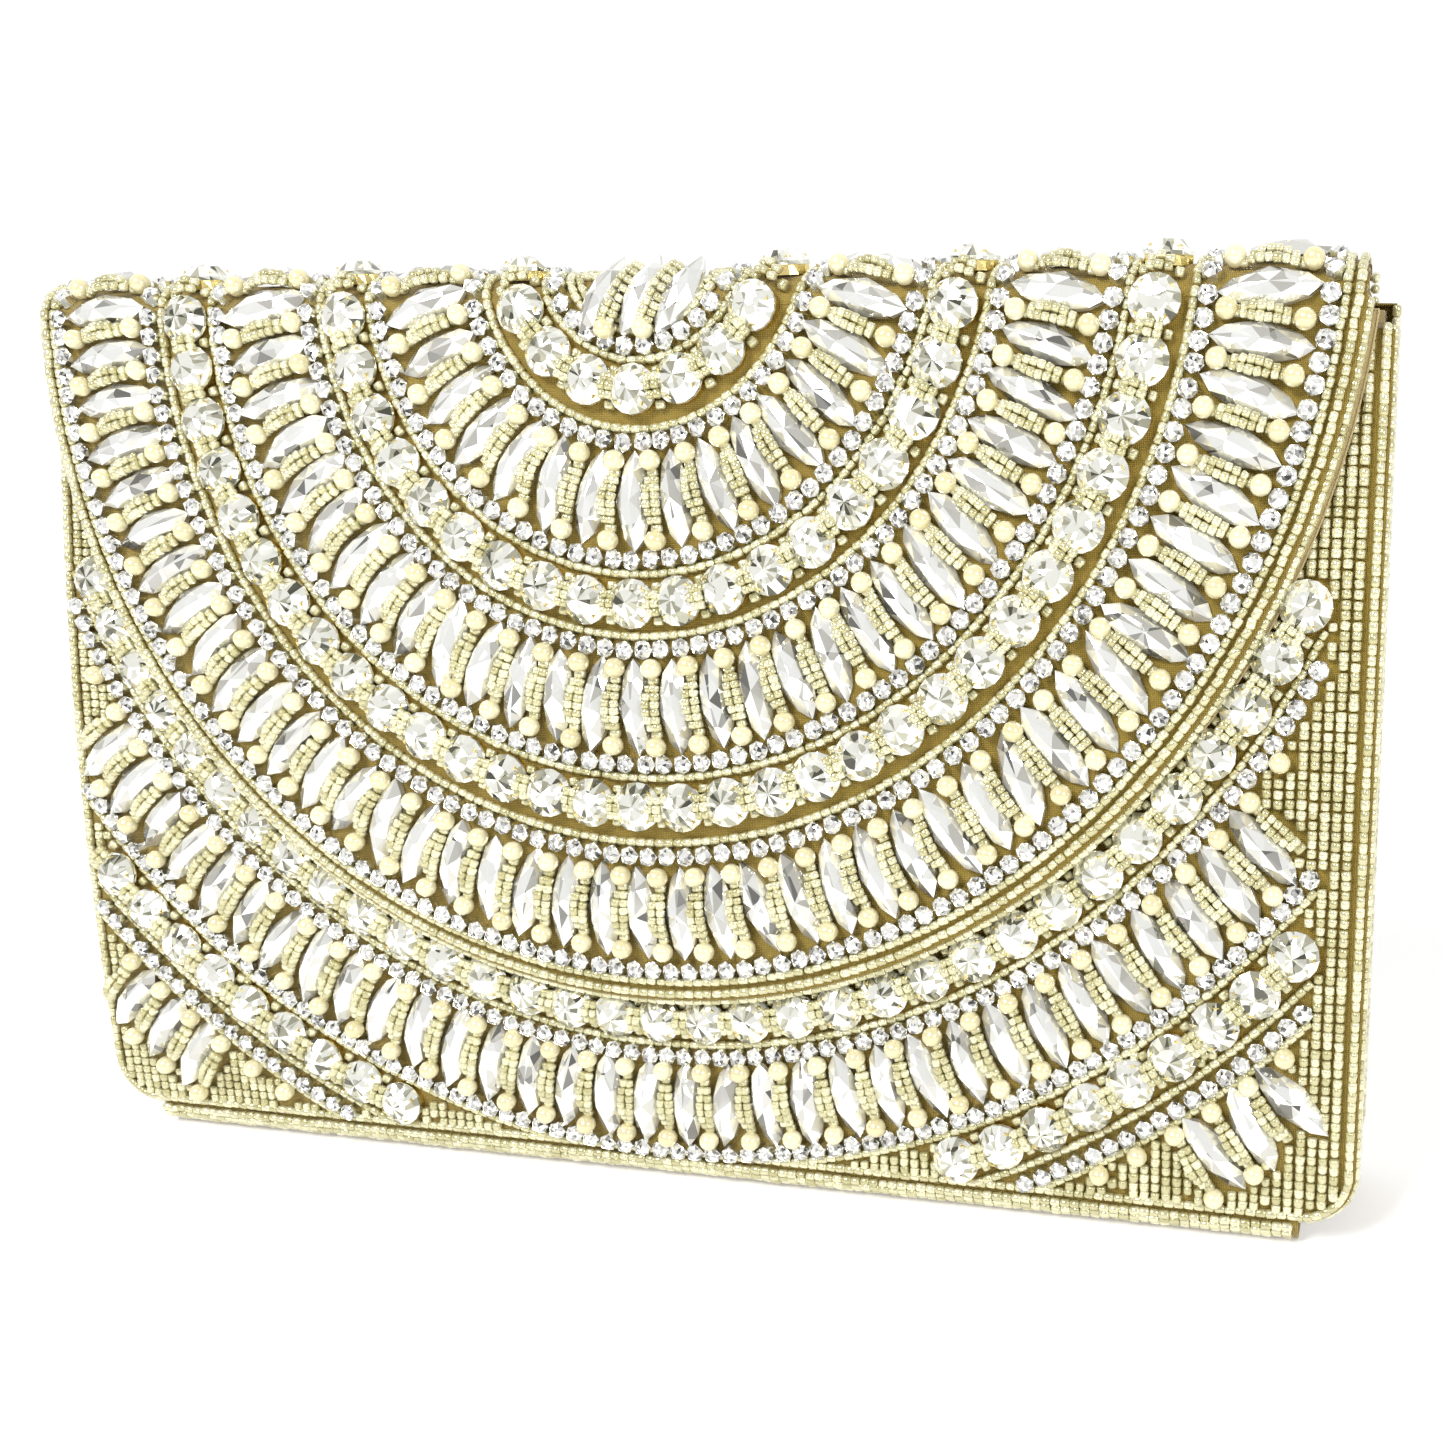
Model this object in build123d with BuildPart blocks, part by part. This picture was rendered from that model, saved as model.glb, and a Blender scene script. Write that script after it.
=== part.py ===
from build123d import *
import os
from math import asin, atan2, cos, degrees, radians, sin, sqrt

# A beaded envelope clutch that stands on its base. Millimetres, +Z up, the front faces -Y.
# The origin is on the flat underside of the base, half way along it.

# Body
BODY_WIDTH = 272
HEIGHT = 178               # floor to the ridge where the flap folds over
BACK_Y = 20                # outside of the back
CORNER_RADIUS = 10         # lower corners, seen from the front
HEM_RADIUS = 4             # long lower edges of the base
FRONT_FOOT = 6             # the front panel starts this high
BACK_FOOT = HEM_RADIUS

# The flap leaves the ridge on a small fold and then follows a long, gentle bow
FOLD_RADIUS = 7
FLAP_LEAN = 14             # degrees from upright at the end of the fold
BOW_RADIUS = 800

# Layers
COVER = 0.8
BOARD = 1.6
LINING = 0.6
BOARD_INSET = 1.5
LINING_INSET = 2
FOLD_CLEARANCE = 2
PANEL = COVER + BOARD + LINING
FLAP_GAP = 2.2             # between the closed flap's lining and the front
GAP = 0.3                  # between pieces that move apart

# The ring pattern, centred a little behind the ridge
RING_BACK = 5
RING_SHIFT = -2            # sideways
RING_SQUASH = 0.915        # width of a ring over its drop
FLAP_REACH = 146.5         # ring radius of the flap's edge

# Stones and beads
NAVETTE_LENGTH = 17
NAVETTE_WIDTH = 6.6
GIRDLE = 1.6
CROWN = 2.4
CROWN_TAPER = 38
ROUND_RADIUS = 3.9
SETTING_RADIUS = 4.3
SETTING_HEIGHT = 2.4
PEARL_RADIUS = 2.0
PEARL_OFFSET = 6.85         # from the middle of the navette ring
FRONT_PEARL_OFFSET = 6.6
CHAIN_WIDTH = 3.2
CHAIN_HEIGHT = 3.0
SEED = 1.6
STRAND_LENGTH = 8.2
STRAND_WIDTH = 1.4
STRAND_HEIGHT = 2.6

# Ring radii and counts
FLAP_NAVETTE_RINGS = {"inner": (50.3, 17), "middle": (88.8, 31), "outer": (128.9, 45)}
FLAP_ROUND_RINGS = {"inner": (29.7, 9), "middle": (69.3, 21), "outer": (107.9, 33)}
FLAP_CHAIN_RADII = (21.7, 39.4, 61.2, 77.9, 99.7, 117.5, 140.3)
FLAP_SEED_RADII = (24.1, 36.8, 63.7, 75.3, 102.3, 114.9, 142.8, 145.2)
FRONT_CHAIN_RADII = (160.2, 181.2)
FRONT_SEED_RADIUS = 157.8
FRONT_ROUND_RINGS = ((152.3, 45), (189, 56))
FRONT_NAVETTE_RING = (170.7, 56)
CORNER_CHAIN_RADIUS = 198
CORNER_FAN = (209.5, 68)

# Magnetic snap
SNAP_RUN = 108             # below the ridge, along the flap
SNAP_RADIUS = 9
SNAP_PLATE = 1.0
SOCKET_PLATE = 0.8
KNOB_RADIUS = 2.8
KNOB_HEIGHT = 0.6
SOCKET_HOLE = 3.5
PRONG_LENGTH = 2.2
PRONG_SPACING = 8
PRONG_WIDTH = 3
PRONG_THICKNESS = 0.8
WASHER_RADIUS = 8.5
WASHER = 0.5
SLACK = 0.05               # small clearance round a fitted piece

half_width = BODY_WIDTH / 2
fold_y = BACK_Y - FOLD_RADIUS
fold_z = HEIGHT - FOLD_RADIUS
fold_run = FOLD_RADIUS * radians(90 - FLAP_LEAN)
bow_y = fold_y + (BOW_RADIUS - FOLD_RADIUS) * cos(radians(FLAP_LEAN))
bow_z = fold_z - (BOW_RADIUS - FOLD_RADIUS) * sin(radians(FLAP_LEAN))
FRONT_LIFT = -(PANEL + FLAP_GAP)
FRONT_TOP = 168
front_radius = BOW_RADIUS + FRONT_LIFT
front_foot_y = bow_y - sqrt(front_radius**2 - (FRONT_FOOT - bow_z) ** 2)

os.makedirs("parts", exist_ok=True)


def save(builder, name):
    """Label a finished piece and write it."""
    builder.part.label = name
    export_step(builder.part, f"parts/{name}.step")


def lean_at(run):
    """Lean of the bow, in radians, at a distance below the ridge along the flap."""
    return radians(FLAP_LEAN) - (run - fold_run) / BOW_RADIUS


def seat(x, run, lift, turn):
    """Place on the outer surface, raised by lift and turned about its normal."""
    if run < fold_run:
        angle = run / FOLD_RADIUS
        radius = FOLD_RADIUS + lift
        origin = (x, fold_y - radius * sin(angle), fold_z + radius * cos(angle))
        normal = (0, -sin(angle), cos(angle))
    else:
        lean = lean_at(run)
        radius = BOW_RADIUS + lift
        origin = (x, bow_y - radius * cos(lean), bow_z + radius * sin(lean))
        normal = (0, -cos(lean), sin(lean))
    plane = Plane(origin=origin, x_dir=(1, 0, 0), z_dir=normal)
    return plane.location * Location((0, 0, 0), (0, 0, turn))


def ring_point(radius, angle):
    """Sideways place and run of a point of a ring, and the turn of its radius."""
    x = RING_SHIFT + RING_SQUASH * radius * sin(radians(angle))
    run = radius * cos(radians(angle)) - RING_BACK
    turn = degrees(atan2(RING_SQUASH * sin(radians(angle)), cos(radians(angle))))
    return x, run, turn


def ring_angles(count, between=False):
    """Even angles of a half ring: the stones, or the gaps between them."""
    step = 180 / count
    if between:
        return [-90 + step * i for i in range(1, count)]
    return [-90 + step * (i + 0.5) for i in range(count)]


def seats(radius, angles, lift, low_run, high_run, reach=half_width):
    """Seats of the stones of a ring whose runs and sideways places are within limits."""
    found = []
    for angle in angles:
        x, run, turn = ring_point(radius, angle)
        if low_run <= run < high_run and abs(x) < reach:
            found.append(seat(x, run, lift, turn))
    return found


def copies(piece, places):
    """One group of separate copies of a piece."""
    with BuildPart() as group:
        with Locations(*places):
            add(piece)
    return group.part


def height_at(run, lift):
    """Height above the floor of a point on a surface parallel to the bow."""
    return bow_z + (BOW_RADIUS + lift) * sin(lean_at(run))


def arc_points(radius, lift, start, end, steps=10):
    """Points of a ring, as seen from the front."""
    points = []
    for i in range(steps + 1):
        x, run, _ = ring_point(radius, start + (end - start) * i / steps)
        points.append((x, height_at(run, lift)))
    return points


def end_angle(radius, run):
    """Angle at which a ring comes up to a run."""
    return 90 - degrees(asin((run + RING_BACK) / radius))


def bow_sheet(lift, thickness, top_run, bottom_run, outline):
    """A sheet along the bow with its outer face at lift, cut to an outline seen from the front."""
    start = 180 - degrees(lean_at(top_run))
    size = degrees(lean_at(top_run) - lean_at(bottom_run))
    with BuildPart() as sheet:
        with BuildSketch(Plane.YZ):
            with BuildLine():
                outer = CenterArc((bow_y, bow_z), BOW_RADIUS + lift, start, size)
                inner = CenterArc((bow_y, bow_z), BOW_RADIUS + lift - thickness, start, size)
                Line(outer @ 0, inner @ 0)
                Line(outer @ 1, inner @ 1)
            make_face()
        extrude(amount=BODY_WIDTH, both=True)
        with BuildSketch(Plane.XZ):
            add(outline)
        extrude(amount=BODY_WIDTH, both=True, mode=Mode.INTERSECT)
    return sheet.part


def ring_strip(radius, width, lift, height, start, end):
    """A raised strip along part of a ring, standing on the surface at lift."""
    with BuildSketch() as outline:
        with BuildLine():
            outer = Spline(arc_points(radius + width / 2, lift, start, end))
            inner = Spline(arc_points(radius - width / 2, lift, start, end))
            Line(outer @ 0, inner @ 0)
            Line(outer @ 1, inner @ 1)
        make_face()
    runs = [ring_point(radius + side * width, angle)[1] for side in (-1, 1) for angle in (start, end, 0)]
    top = max(min(runs) - width, 0)
    return bow_sheet(lift + height, height, top, max(runs) + width, outline.sketch)


def flap_outline(inset):
    """The half-round flap seen from the front, drawn in by an inset."""
    reach = FLAP_REACH - inset
    end = end_angle(reach, fold_run)
    points = arc_points(reach, 0, -end, end, 16)
    with BuildSketch() as outline:
        with BuildLine():
            curve = Spline(points)
            Polyline(curve @ 0, (points[0][0], HEIGHT), (points[-1][0], HEIGHT), curve @ 1)
        make_face()
    return outline.sketch


def panel_outline(foot, top, inset):
    """A panel with rounded lower corners seen from the front."""
    with BuildSketch() as outline:
        with Locations((0, (foot + top) / 2)):
            Rectangle(BODY_WIDTH - 2 * inset, top - foot)
        fillet(outline.vertices().group_by(Axis.Y)[0], radius=CORNER_RADIUS - inset)
    return outline.sketch


# Snap planes: the stud plate lies on the flap's lining and the socket on the front cover
stud_plane = Plane(seat(0, SNAP_RUN, -PANEL - SLACK, 0))
socket_plane = Plane(seat(0, SNAP_RUN, FRONT_LIFT, 0))


def prongs(plane, direction, slack):
    """The two bent-over legs that hold a snap half, or with slack the slots for them."""
    with BuildPart() as legs:
        with BuildSketch(plane):
            with GridLocations(PRONG_SPACING, 0, 2, 1):
                Rectangle(PRONG_THICKNESS + 2 * slack, PRONG_WIDTH + 2 * slack)
        extrude(amount=direction * (PRONG_LENGTH + slack))
    return legs.part


# Back: cover, board and lining, three flat sheets with rounded lower corners
with BuildPart() as back_cover:
    with BuildSketch(Plane.XZ.offset(-BACK_Y)):
        add(panel_outline(BACK_FOOT, fold_z, 0))
    extrude(amount=COVER)
save(back_cover, "back_cover")

with BuildPart() as back_board:
    with BuildSketch(Plane.XZ.offset(-BACK_Y + COVER)):
        add(panel_outline(BACK_FOOT, fold_z - 1, BOARD_INSET))
    extrude(amount=BOARD)
save(back_board, "back_board")

with BuildPart() as back_lining:
    with BuildSketch(Plane.XZ.offset(-BACK_Y + COVER + BOARD)):
        add(panel_outline(BACK_FOOT, fold_z - 1, LINING_INSET))
    extrude(amount=LINING)
save(back_lining, "back_lining")

# The beaded skin of the back: seed beads sewn side by side over the whole panel
BACK_BEADING = 1.6
with BuildPart() as back_beading:
    with BuildSketch(Plane.XZ.offset(-BACK_Y - BACK_BEADING)):
        add(panel_outline(BACK_FOOT + 1, fold_z - 1, 1))
    extrude(amount=BACK_BEADING)
save(back_beading, "back_beading")

# Slip pocket: a flat pocket hemmed to the back lining on three sides
POCKET_WIDTH = 130
POCKET_FOOT = 45
POCKET_TOP = 125
HEM = 3
pocket_y = BACK_Y - PANEL
with BuildPart() as slip_pocket:
    with BuildSketch(Plane.XZ.offset(-pocket_y)):
        with Locations((0, (POCKET_FOOT + POCKET_TOP) / 2)):
            Rectangle(POCKET_WIDTH, POCKET_TOP - POCKET_FOOT)
    extrude(amount=2 * LINING)
    with BuildSketch(Plane.XZ.offset(-pocket_y)):
        with Locations((0, (POCKET_FOOT + HEM + POCKET_TOP) / 2)):
            Rectangle(POCKET_WIDTH - 2 * HEM, POCKET_TOP - POCKET_FOOT - HEM)
    extrude(amount=LINING, mode=Mode.SUBTRACT)
save(slip_pocket, "slip_pocket")

# Base: a cover that turns up at the front and back, a stiff board and its lining
with BuildPart() as base_cover:
    with BuildSketch(Plane.YZ):
        with Locations(((front_foot_y + BACK_Y) / 2, HEIGHT / 2)):
            Rectangle(BACK_Y - front_foot_y, HEIGHT)
        fillet(vertices().group_by(Axis.Z)[0], radius=HEM_RADIUS)
    extrude(amount=half_width - CORNER_RADIUS, both=True)
    with BuildSketch(Plane.YZ):
        with Locations(((front_foot_y + BACK_Y) / 2, HEIGHT / 2 + COVER)):
            Rectangle(BACK_Y - front_foot_y - 2 * COVER, HEIGHT)
        fillet(vertices().group_by(Axis.Z)[0], radius=HEM_RADIUS - COVER)
    extrude(amount=half_width, both=True, mode=Mode.SUBTRACT)
    with BuildSketch(Plane.XY.offset(BACK_FOOT)):
        with Locations((0, BACK_Y)):
            Rectangle(2 * BODY_WIDTH, BACK_Y)
    extrude(amount=HEIGHT, mode=Mode.SUBTRACT)
    with BuildSketch(Plane.XY.offset(FRONT_FOOT - GAP)):
        with Locations((0, front_foot_y)):
            Rectangle(2 * BODY_WIDTH, BACK_Y)
    extrude(amount=HEIGHT, mode=Mode.SUBTRACT)
save(base_cover, "base_cover")

base_middle = (front_foot_y + BACK_Y) / 2
BASE_DEPTH = 24
with BuildPart() as base_board:
    with BuildSketch(Plane.XY.offset(COVER)):
        with Locations((0, base_middle)):
            Rectangle(BODY_WIDTH - 2 * CORNER_RADIUS - 2, BASE_DEPTH)
    extrude(amount=BOARD)
save(base_board, "base_board")

with BuildPart() as base_lining:
    with BuildSketch(Plane.XY.offset(COVER + BOARD)):
        with Locations((0, base_middle)):
            Rectangle(BODY_WIDTH - 2 * CORNER_RADIUS - 2, BASE_DEPTH)
    extrude(amount=LINING)
save(base_lining, "base_lining")

# Side gussets: soft wedges between the front and back linings
GUSSET_INSET = 4
GUSSET = 0.8
GUSSET_FOOT = 12
GUSSET_TOP = 160
gusset_radius = front_radius - PANEL - GAP
gusset_start = degrees(asin((GUSSET_TOP - bow_z) / gusset_radius))
gusset_end = degrees(asin((GUSSET_FOOT - bow_z) / gusset_radius))
gusset_back = BACK_Y - PANEL - GAP
for side, name in ((-1, "left_gusset"), (1, "right_gusset")):
    with BuildPart() as gusset:
        with BuildSketch(Plane.YZ.offset(side * (half_width - GUSSET_INSET))):
            with BuildLine():
                gusset_sweep = gusset_start - gusset_end
                front = CenterArc((bow_y, bow_z), gusset_radius, 180 - gusset_start, gusset_sweep)
                Polyline(front @ 0, (gusset_back, GUSSET_TOP), (gusset_back, GUSSET_FOOT), front @ 1)
            make_face()
        extrude(amount=-side * GUSSET)
    save(gusset, name)

# Fold: the soft strip of cover and lining that joins the back to the flap
flap_half = RING_SQUASH * FLAP_REACH * sin(radians(end_angle(FLAP_REACH, fold_run)))
FOLD_SLIT = 0.1            # kept between the strip and the flap's first edge
for name, outer, thickness in (
    ("fold_cover", FOLD_RADIUS, COVER),
    ("fold_lining", FOLD_RADIUS - COVER, LINING),
):
    with BuildPart() as fold:
        with BuildSketch(Plane.YZ.offset(RING_SHIFT)):
            with BuildLine():
                sweep = 180 - FLAP_LEAN - degrees(FOLD_SLIT / FOLD_RADIUS)
                over = CenterArc((fold_y, fold_z), outer, 0, sweep)
                under = CenterArc((fold_y, fold_z), outer - thickness, 0, sweep)
                Line(over @ 0, under @ 0)
                Line(over @ 1, under @ 1)
            make_face()
        extrude(amount=flap_half, both=True)
    save(fold, name)

# Front panel: cover, board and lining along the bow, behind the flap
front_foot_run = fold_run + BOW_RADIUS * (
    radians(FLAP_LEAN) - asin((FRONT_FOOT - bow_z) / (BOW_RADIUS + FRONT_LIFT))
)
sheet_end = front_foot_run + CORNER_RADIUS
socket_slots = prongs(socket_plane, -1, SLACK)
WASHER_LIFT = FRONT_LIFT - COVER - BOARD + WASHER
with BuildPart() as front_cover:
    add(bow_sheet(FRONT_LIFT, COVER, 0, sheet_end, panel_outline(FRONT_FOOT, FRONT_TOP, 0)))
    add(socket_slots, mode=Mode.SUBTRACT)
save(front_cover, "front_cover")

with BuildPart() as front_board:
    add(bow_sheet(FRONT_LIFT - COVER, BOARD, 0, sheet_end, panel_outline(FRONT_FOOT, FRONT_TOP, BOARD_INSET)))
    add(socket_slots, mode=Mode.SUBTRACT)
    with BuildSketch(Plane(seat(0, SNAP_RUN, WASHER_LIFT + SLACK, 0))):
        Circle(WASHER_RADIUS + SLACK)
    extrude(amount=-BOARD, mode=Mode.SUBTRACT)
save(front_board, "front_board")

with BuildPart() as front_lining:
    lining_lift = FRONT_LIFT - COVER - BOARD
    add(bow_sheet(lining_lift, LINING, 0, sheet_end, panel_outline(FRONT_FOOT, FRONT_TOP, LINING_INSET)))
save(front_lining, "front_lining")

# Front half of the magnetic snap: a ring plate whose legs are bent over a washer
with BuildPart() as front_snap_socket:
    with BuildSketch(socket_plane):
        Circle(SNAP_RADIUS)
        Circle(SOCKET_HOLE, mode=Mode.SUBTRACT)
    extrude(amount=SOCKET_PLATE)
    add(prongs(socket_plane, -1, 0))
save(front_snap_socket, "front_snap_socket")

with BuildPart() as front_snap_washer:
    with BuildSketch(Plane(seat(0, SNAP_RUN, WASHER_LIFT, 0))):
        Circle(WASHER_RADIUS)
    extrude(amount=-(WASHER - SLACK))
    add(socket_slots, mode=Mode.SUBTRACT)
save(front_snap_washer, "front_snap_washer")

# Flap: cover, board and lining, half round
stud_slots = prongs(stud_plane, 1, SLACK)
flap_end = FLAP_REACH
with BuildPart() as flap_cover:
    add(bow_sheet(0, COVER, fold_run, flap_end, flap_outline(0)))
save(flap_cover, "flap_cover")

with BuildPart() as flap_board:
    add(bow_sheet(-COVER, BOARD, fold_run + FOLD_CLEARANCE, flap_end, flap_outline(BOARD_INSET)))
    add(stud_slots, mode=Mode.SUBTRACT)
    with BuildSketch(Plane(seat(0, SNAP_RUN, -COVER - WASHER - SLACK, 0))):
        Circle(WASHER_RADIUS + SLACK)
    extrude(amount=BOARD, mode=Mode.SUBTRACT)
save(flap_board, "flap_board")

with BuildPart() as flap_lining:
    add(bow_sheet(-COVER - BOARD, LINING, fold_run + FOLD_CLEARANCE, flap_end, flap_outline(LINING_INSET)))
    add(stud_slots, mode=Mode.SUBTRACT)
save(flap_lining, "flap_lining")

# Flap half of the snap: a plate with a low knob that drops into the socket
with BuildPart() as flap_snap_stud:
    with BuildSketch(stud_plane):
        Circle(SNAP_RADIUS)
    extrude(amount=-SNAP_PLATE)
    with BuildSketch(stud_plane.offset(-SNAP_PLATE)):
        Circle(KNOB_RADIUS)
    extrude(amount=-KNOB_HEIGHT)
    add(prongs(stud_plane, 1, 0))
save(flap_snap_stud, "flap_snap_stud")

with BuildPart() as flap_snap_washer:
    with BuildSketch(Plane(seat(0, SNAP_RUN, -COVER - SLACK, 0))):
        Circle(WASHER_RADIUS)
    extrude(amount=-(WASHER - SLACK))
    add(stud_slots, mode=Mode.SUBTRACT)
save(flap_snap_washer, "flap_snap_washer")

# One navette: a pointed oval with a straight girdle and a sloping crown
with BuildPart() as navette:
    for level, height, taper in ((0, GIRDLE, 0), (GIRDLE, CROWN, CROWN_TAPER)):
        with BuildSketch(Plane.XY.offset(level)):
            with BuildLine():
                half_length = NAVETTE_LENGTH / 2
                right = ThreePointArc((0, -half_length), (NAVETTE_WIDTH / 2, 0), (0, half_length))
                ThreePointArc(right @ 1, (-NAVETTE_WIDTH / 2, 0), right @ 0)
            make_face()
        extrude(amount=height, taper=taper)

# One round stone, its point down, and the claw cup that holds it
CUP_FLOOR = 0.5
TABLE_RADIUS = 2.4
TABLE_HEIGHT = 4.6
with BuildPart() as round_stone:
    with BuildSketch(Plane.XZ):
        with BuildLine():
            Polyline(
                (0, CUP_FLOOR),
                (ROUND_RADIUS, SETTING_HEIGHT),
                (ROUND_RADIUS, SETTING_HEIGHT + CUP_FLOOR),
                (TABLE_RADIUS, TABLE_HEIGHT),
                (0, TABLE_HEIGHT),
                close=True,
            )
        make_face()
    revolve(axis=Axis.Z)

with BuildPart() as claw_cup:
    with BuildSketch(Plane.XZ):
        with BuildLine():
            Polyline(
                (0, 0),
                (SETTING_RADIUS, 0),
                (SETTING_RADIUS, SETTING_HEIGHT),
                (ROUND_RADIUS, SETTING_HEIGHT),
                (0, CUP_FLOOR),
                close=True,
            )
        make_face()
    revolve(axis=Axis.Z)

with BuildPart() as pearl:
    with Locations((0, 0, PEARL_RADIUS + SLACK)):
        Sphere(PEARL_RADIUS)

# A radial strand of seed beads, as one bar
with BuildPart() as strand:
    Box(STRAND_WIDTH, STRAND_LENGTH, STRAND_HEIGHT, align=(Align.CENTER, Align.CENTER, Align.MIN))

# Flap rings. Stones whose middle is on the fold belong to the fold strip
fold_navettes = []
fold_rounds = []
for name, (radius, count) in FLAP_NAVETTE_RINGS.items():
    angles = ring_angles(count)
    gaps = ring_angles(count, between=True)
    fold_navettes += seats(radius, angles, SLACK, -1, fold_run)
    with BuildPart() as ring:
        add(copies(navette.part, seats(radius, angles, SLACK, fold_run, FLAP_REACH)))
    save(ring, f"{name}_navettes")
    pearl_seats = []
    for offset in (-PEARL_OFFSET, PEARL_OFFSET):
        pearl_seats += seats(radius + offset, gaps, 0, fold_run, FLAP_REACH)
    with BuildPart() as ring:
        add(copies(pearl.part, pearl_seats))
    save(ring, f"{name}_pearls")
    with BuildPart() as ring:
        add(copies(strand.part, seats(radius, gaps, SLACK, fold_run, FLAP_REACH)))
    save(ring, f"{name}_bead_strands")

for name, (radius, count) in FLAP_ROUND_RINGS.items():
    angles = ring_angles(count)
    fold_rounds += seats(radius, angles, SLACK, -1, fold_run)
    ring_seats = seats(radius, angles, SLACK, fold_run, FLAP_REACH)
    with BuildPart() as ring:
        add(copies(round_stone.part, ring_seats))
    save(ring, f"{name}_round_stones")
    with BuildPart() as ring:
        add(copies(claw_cup.part, ring_seats))
    save(ring, f"{name}_claw_cups")

# Three smaller navettes that slant across the ridge at the middle of the pattern
MOTIF_SPACING = 7.3
MOTIF_SHIFT = 1
MOTIF_RUN = 6.2
MOTIF_TURN = -38
MOTIF_SCALE = 0.88
motif_seats = []
for i in (-1, 0, 1):
    motif_seats.append(seat(MOTIF_SHIFT + i * MOTIF_SPACING, MOTIF_RUN, SLACK, MOTIF_TURN))
small_navette = scale(navette.part, by=MOTIF_SCALE)
with BuildPart() as centre_navettes:
    add(copies(small_navette, motif_seats))
save(centre_navettes, "centre_navettes")

# Cup chains and seed lines of the flap
strips = []
for radius in FLAP_CHAIN_RADII:
    end = end_angle(radius, fold_run + CHAIN_WIDTH)
    strips.append(ring_strip(radius, CHAIN_WIDTH, 0, CHAIN_HEIGHT, -end, end))
with BuildPart() as flap_cup_chains:
    for strip in strips:
        add(strip)
save(flap_cup_chains, "flap_cup_chains")

strips = []
for radius in FLAP_SEED_RADII:
    end = end_angle(radius, fold_run + CHAIN_WIDTH)
    strips.append(ring_strip(radius, SEED, 0, SEED, -end, end))
with BuildPart() as flap_seed_lines:
    for strip in strips:
        add(strip)
save(flap_seed_lines, "flap_seed_lines")

# Stones that ride on the fold strip
with BuildPart() as fold_stones:
    add(copies(navette.part, fold_navettes))
save(fold_stones, "fold_navettes")
with BuildPart() as fold_stones:
    add(copies(round_stone.part, fold_rounds))
save(fold_stones, "fold_round_stones")
with BuildPart() as fold_stones:
    add(copies(claw_cup.part, fold_rounds))
save(fold_stones, "fold_claw_cups")

# Front stones, below and beside the flap
FRONT_EDGE = 128           # stones stay within this far of the middle
COLUMN_SHIFT = 2
COLUMN_MARGIN = 3
LOW_RUN = front_foot_run - 1
SHOWN_RUN = 60             # no stones higher than this on the front
(ring_c, count_c), (ring_d, count_d) = FRONT_ROUND_RINGS
round_seats = seats(ring_c, ring_angles(count_c), FRONT_LIFT + SLACK, SHOWN_RUN, LOW_RUN, FRONT_EDGE - 4)
round_seats += seats(
    ring_d, ring_angles(count_d), FRONT_LIFT + SLACK, SHOWN_RUN, LOW_RUN - ROUND_RADIUS, FRONT_EDGE - 4
)
with BuildPart() as front_round_stones:
    add(copies(round_stone.part, round_seats))
save(front_round_stones, "front_round_stones")
with BuildPart() as front_claw_cups:
    add(copies(claw_cup.part, round_seats))
save(front_claw_cups, "front_claw_cups")

radius, count = FRONT_NAVETTE_RING
NAVETTE_EDGE = 122
with BuildPart() as front_navettes:
    places = seats(radius, ring_angles(count), FRONT_LIFT + SLACK, SHOWN_RUN, LOW_RUN, NAVETTE_EDGE)
    add(copies(navette.part, places))
save(front_navettes, "front_navettes")

gaps = ring_angles(count, between=True)
pearl_seats = seats(radius - FRONT_PEARL_OFFSET, gaps, FRONT_LIFT, SHOWN_RUN, LOW_RUN, NAVETTE_EDGE)
pearl_seats += seats(radius + FRONT_PEARL_OFFSET, gaps, FRONT_LIFT, SHOWN_RUN, LOW_RUN, NAVETTE_EDGE)
with BuildPart() as front_pearls:
    add(copies(pearl.part, pearl_seats))
save(front_pearls, "front_pearls")
with BuildPart() as front_bead_strands:
    add(copies(strand.part, seats(radius, gaps, FRONT_LIFT + SLACK, SHOWN_RUN, LOW_RUN, NAVETTE_EDGE)))
save(front_bead_strands, "front_bead_strands")

radius, count = CORNER_FAN
FAN_EDGE = 124
FAN_FOOT = 10
with BuildPart() as corner_navettes:
    places = seats(radius, ring_angles(count), FRONT_LIFT + SLACK, SHOWN_RUN, LOW_RUN - FAN_FOOT, FAN_EDGE)
    add(copies(navette.part, places))
save(corner_navettes, "corner_navettes")


def side_angle(radius, reach):
    """Angle at which a ring comes out to a sideways distance on its nearer side."""
    return degrees(asin((reach - abs(RING_SHIFT)) / (RING_SQUASH * radius)))


strips = []
for radius in FRONT_CHAIN_RADII:
    end = side_angle(radius, FRONT_EDGE)
    strips.append(ring_strip(radius, CHAIN_WIDTH, FRONT_LIFT, CHAIN_HEIGHT, -end, end))
low = end_angle(CORNER_CHAIN_RADIUS, LOW_RUN - CHAIN_WIDTH)
end = side_angle(CORNER_CHAIN_RADIUS, FRONT_EDGE)
for start, stop in ((-end, -low), (low, end)):
    strips.append(ring_strip(CORNER_CHAIN_RADIUS, CHAIN_WIDTH, FRONT_LIFT, CHAIN_HEIGHT, start, stop))
with BuildPart() as front_cup_chains:
    for strip in strips:
        add(strip)
save(front_cup_chains, "front_cup_chains")

end = side_angle(FRONT_SEED_RADIUS, FRONT_EDGE)
with BuildPart() as front_seed_line:
    add(ring_strip(FRONT_SEED_RADIUS, SEED, FRONT_LIFT, SEED, -end, end))
save(front_seed_line, "front_seed_line")

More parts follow.
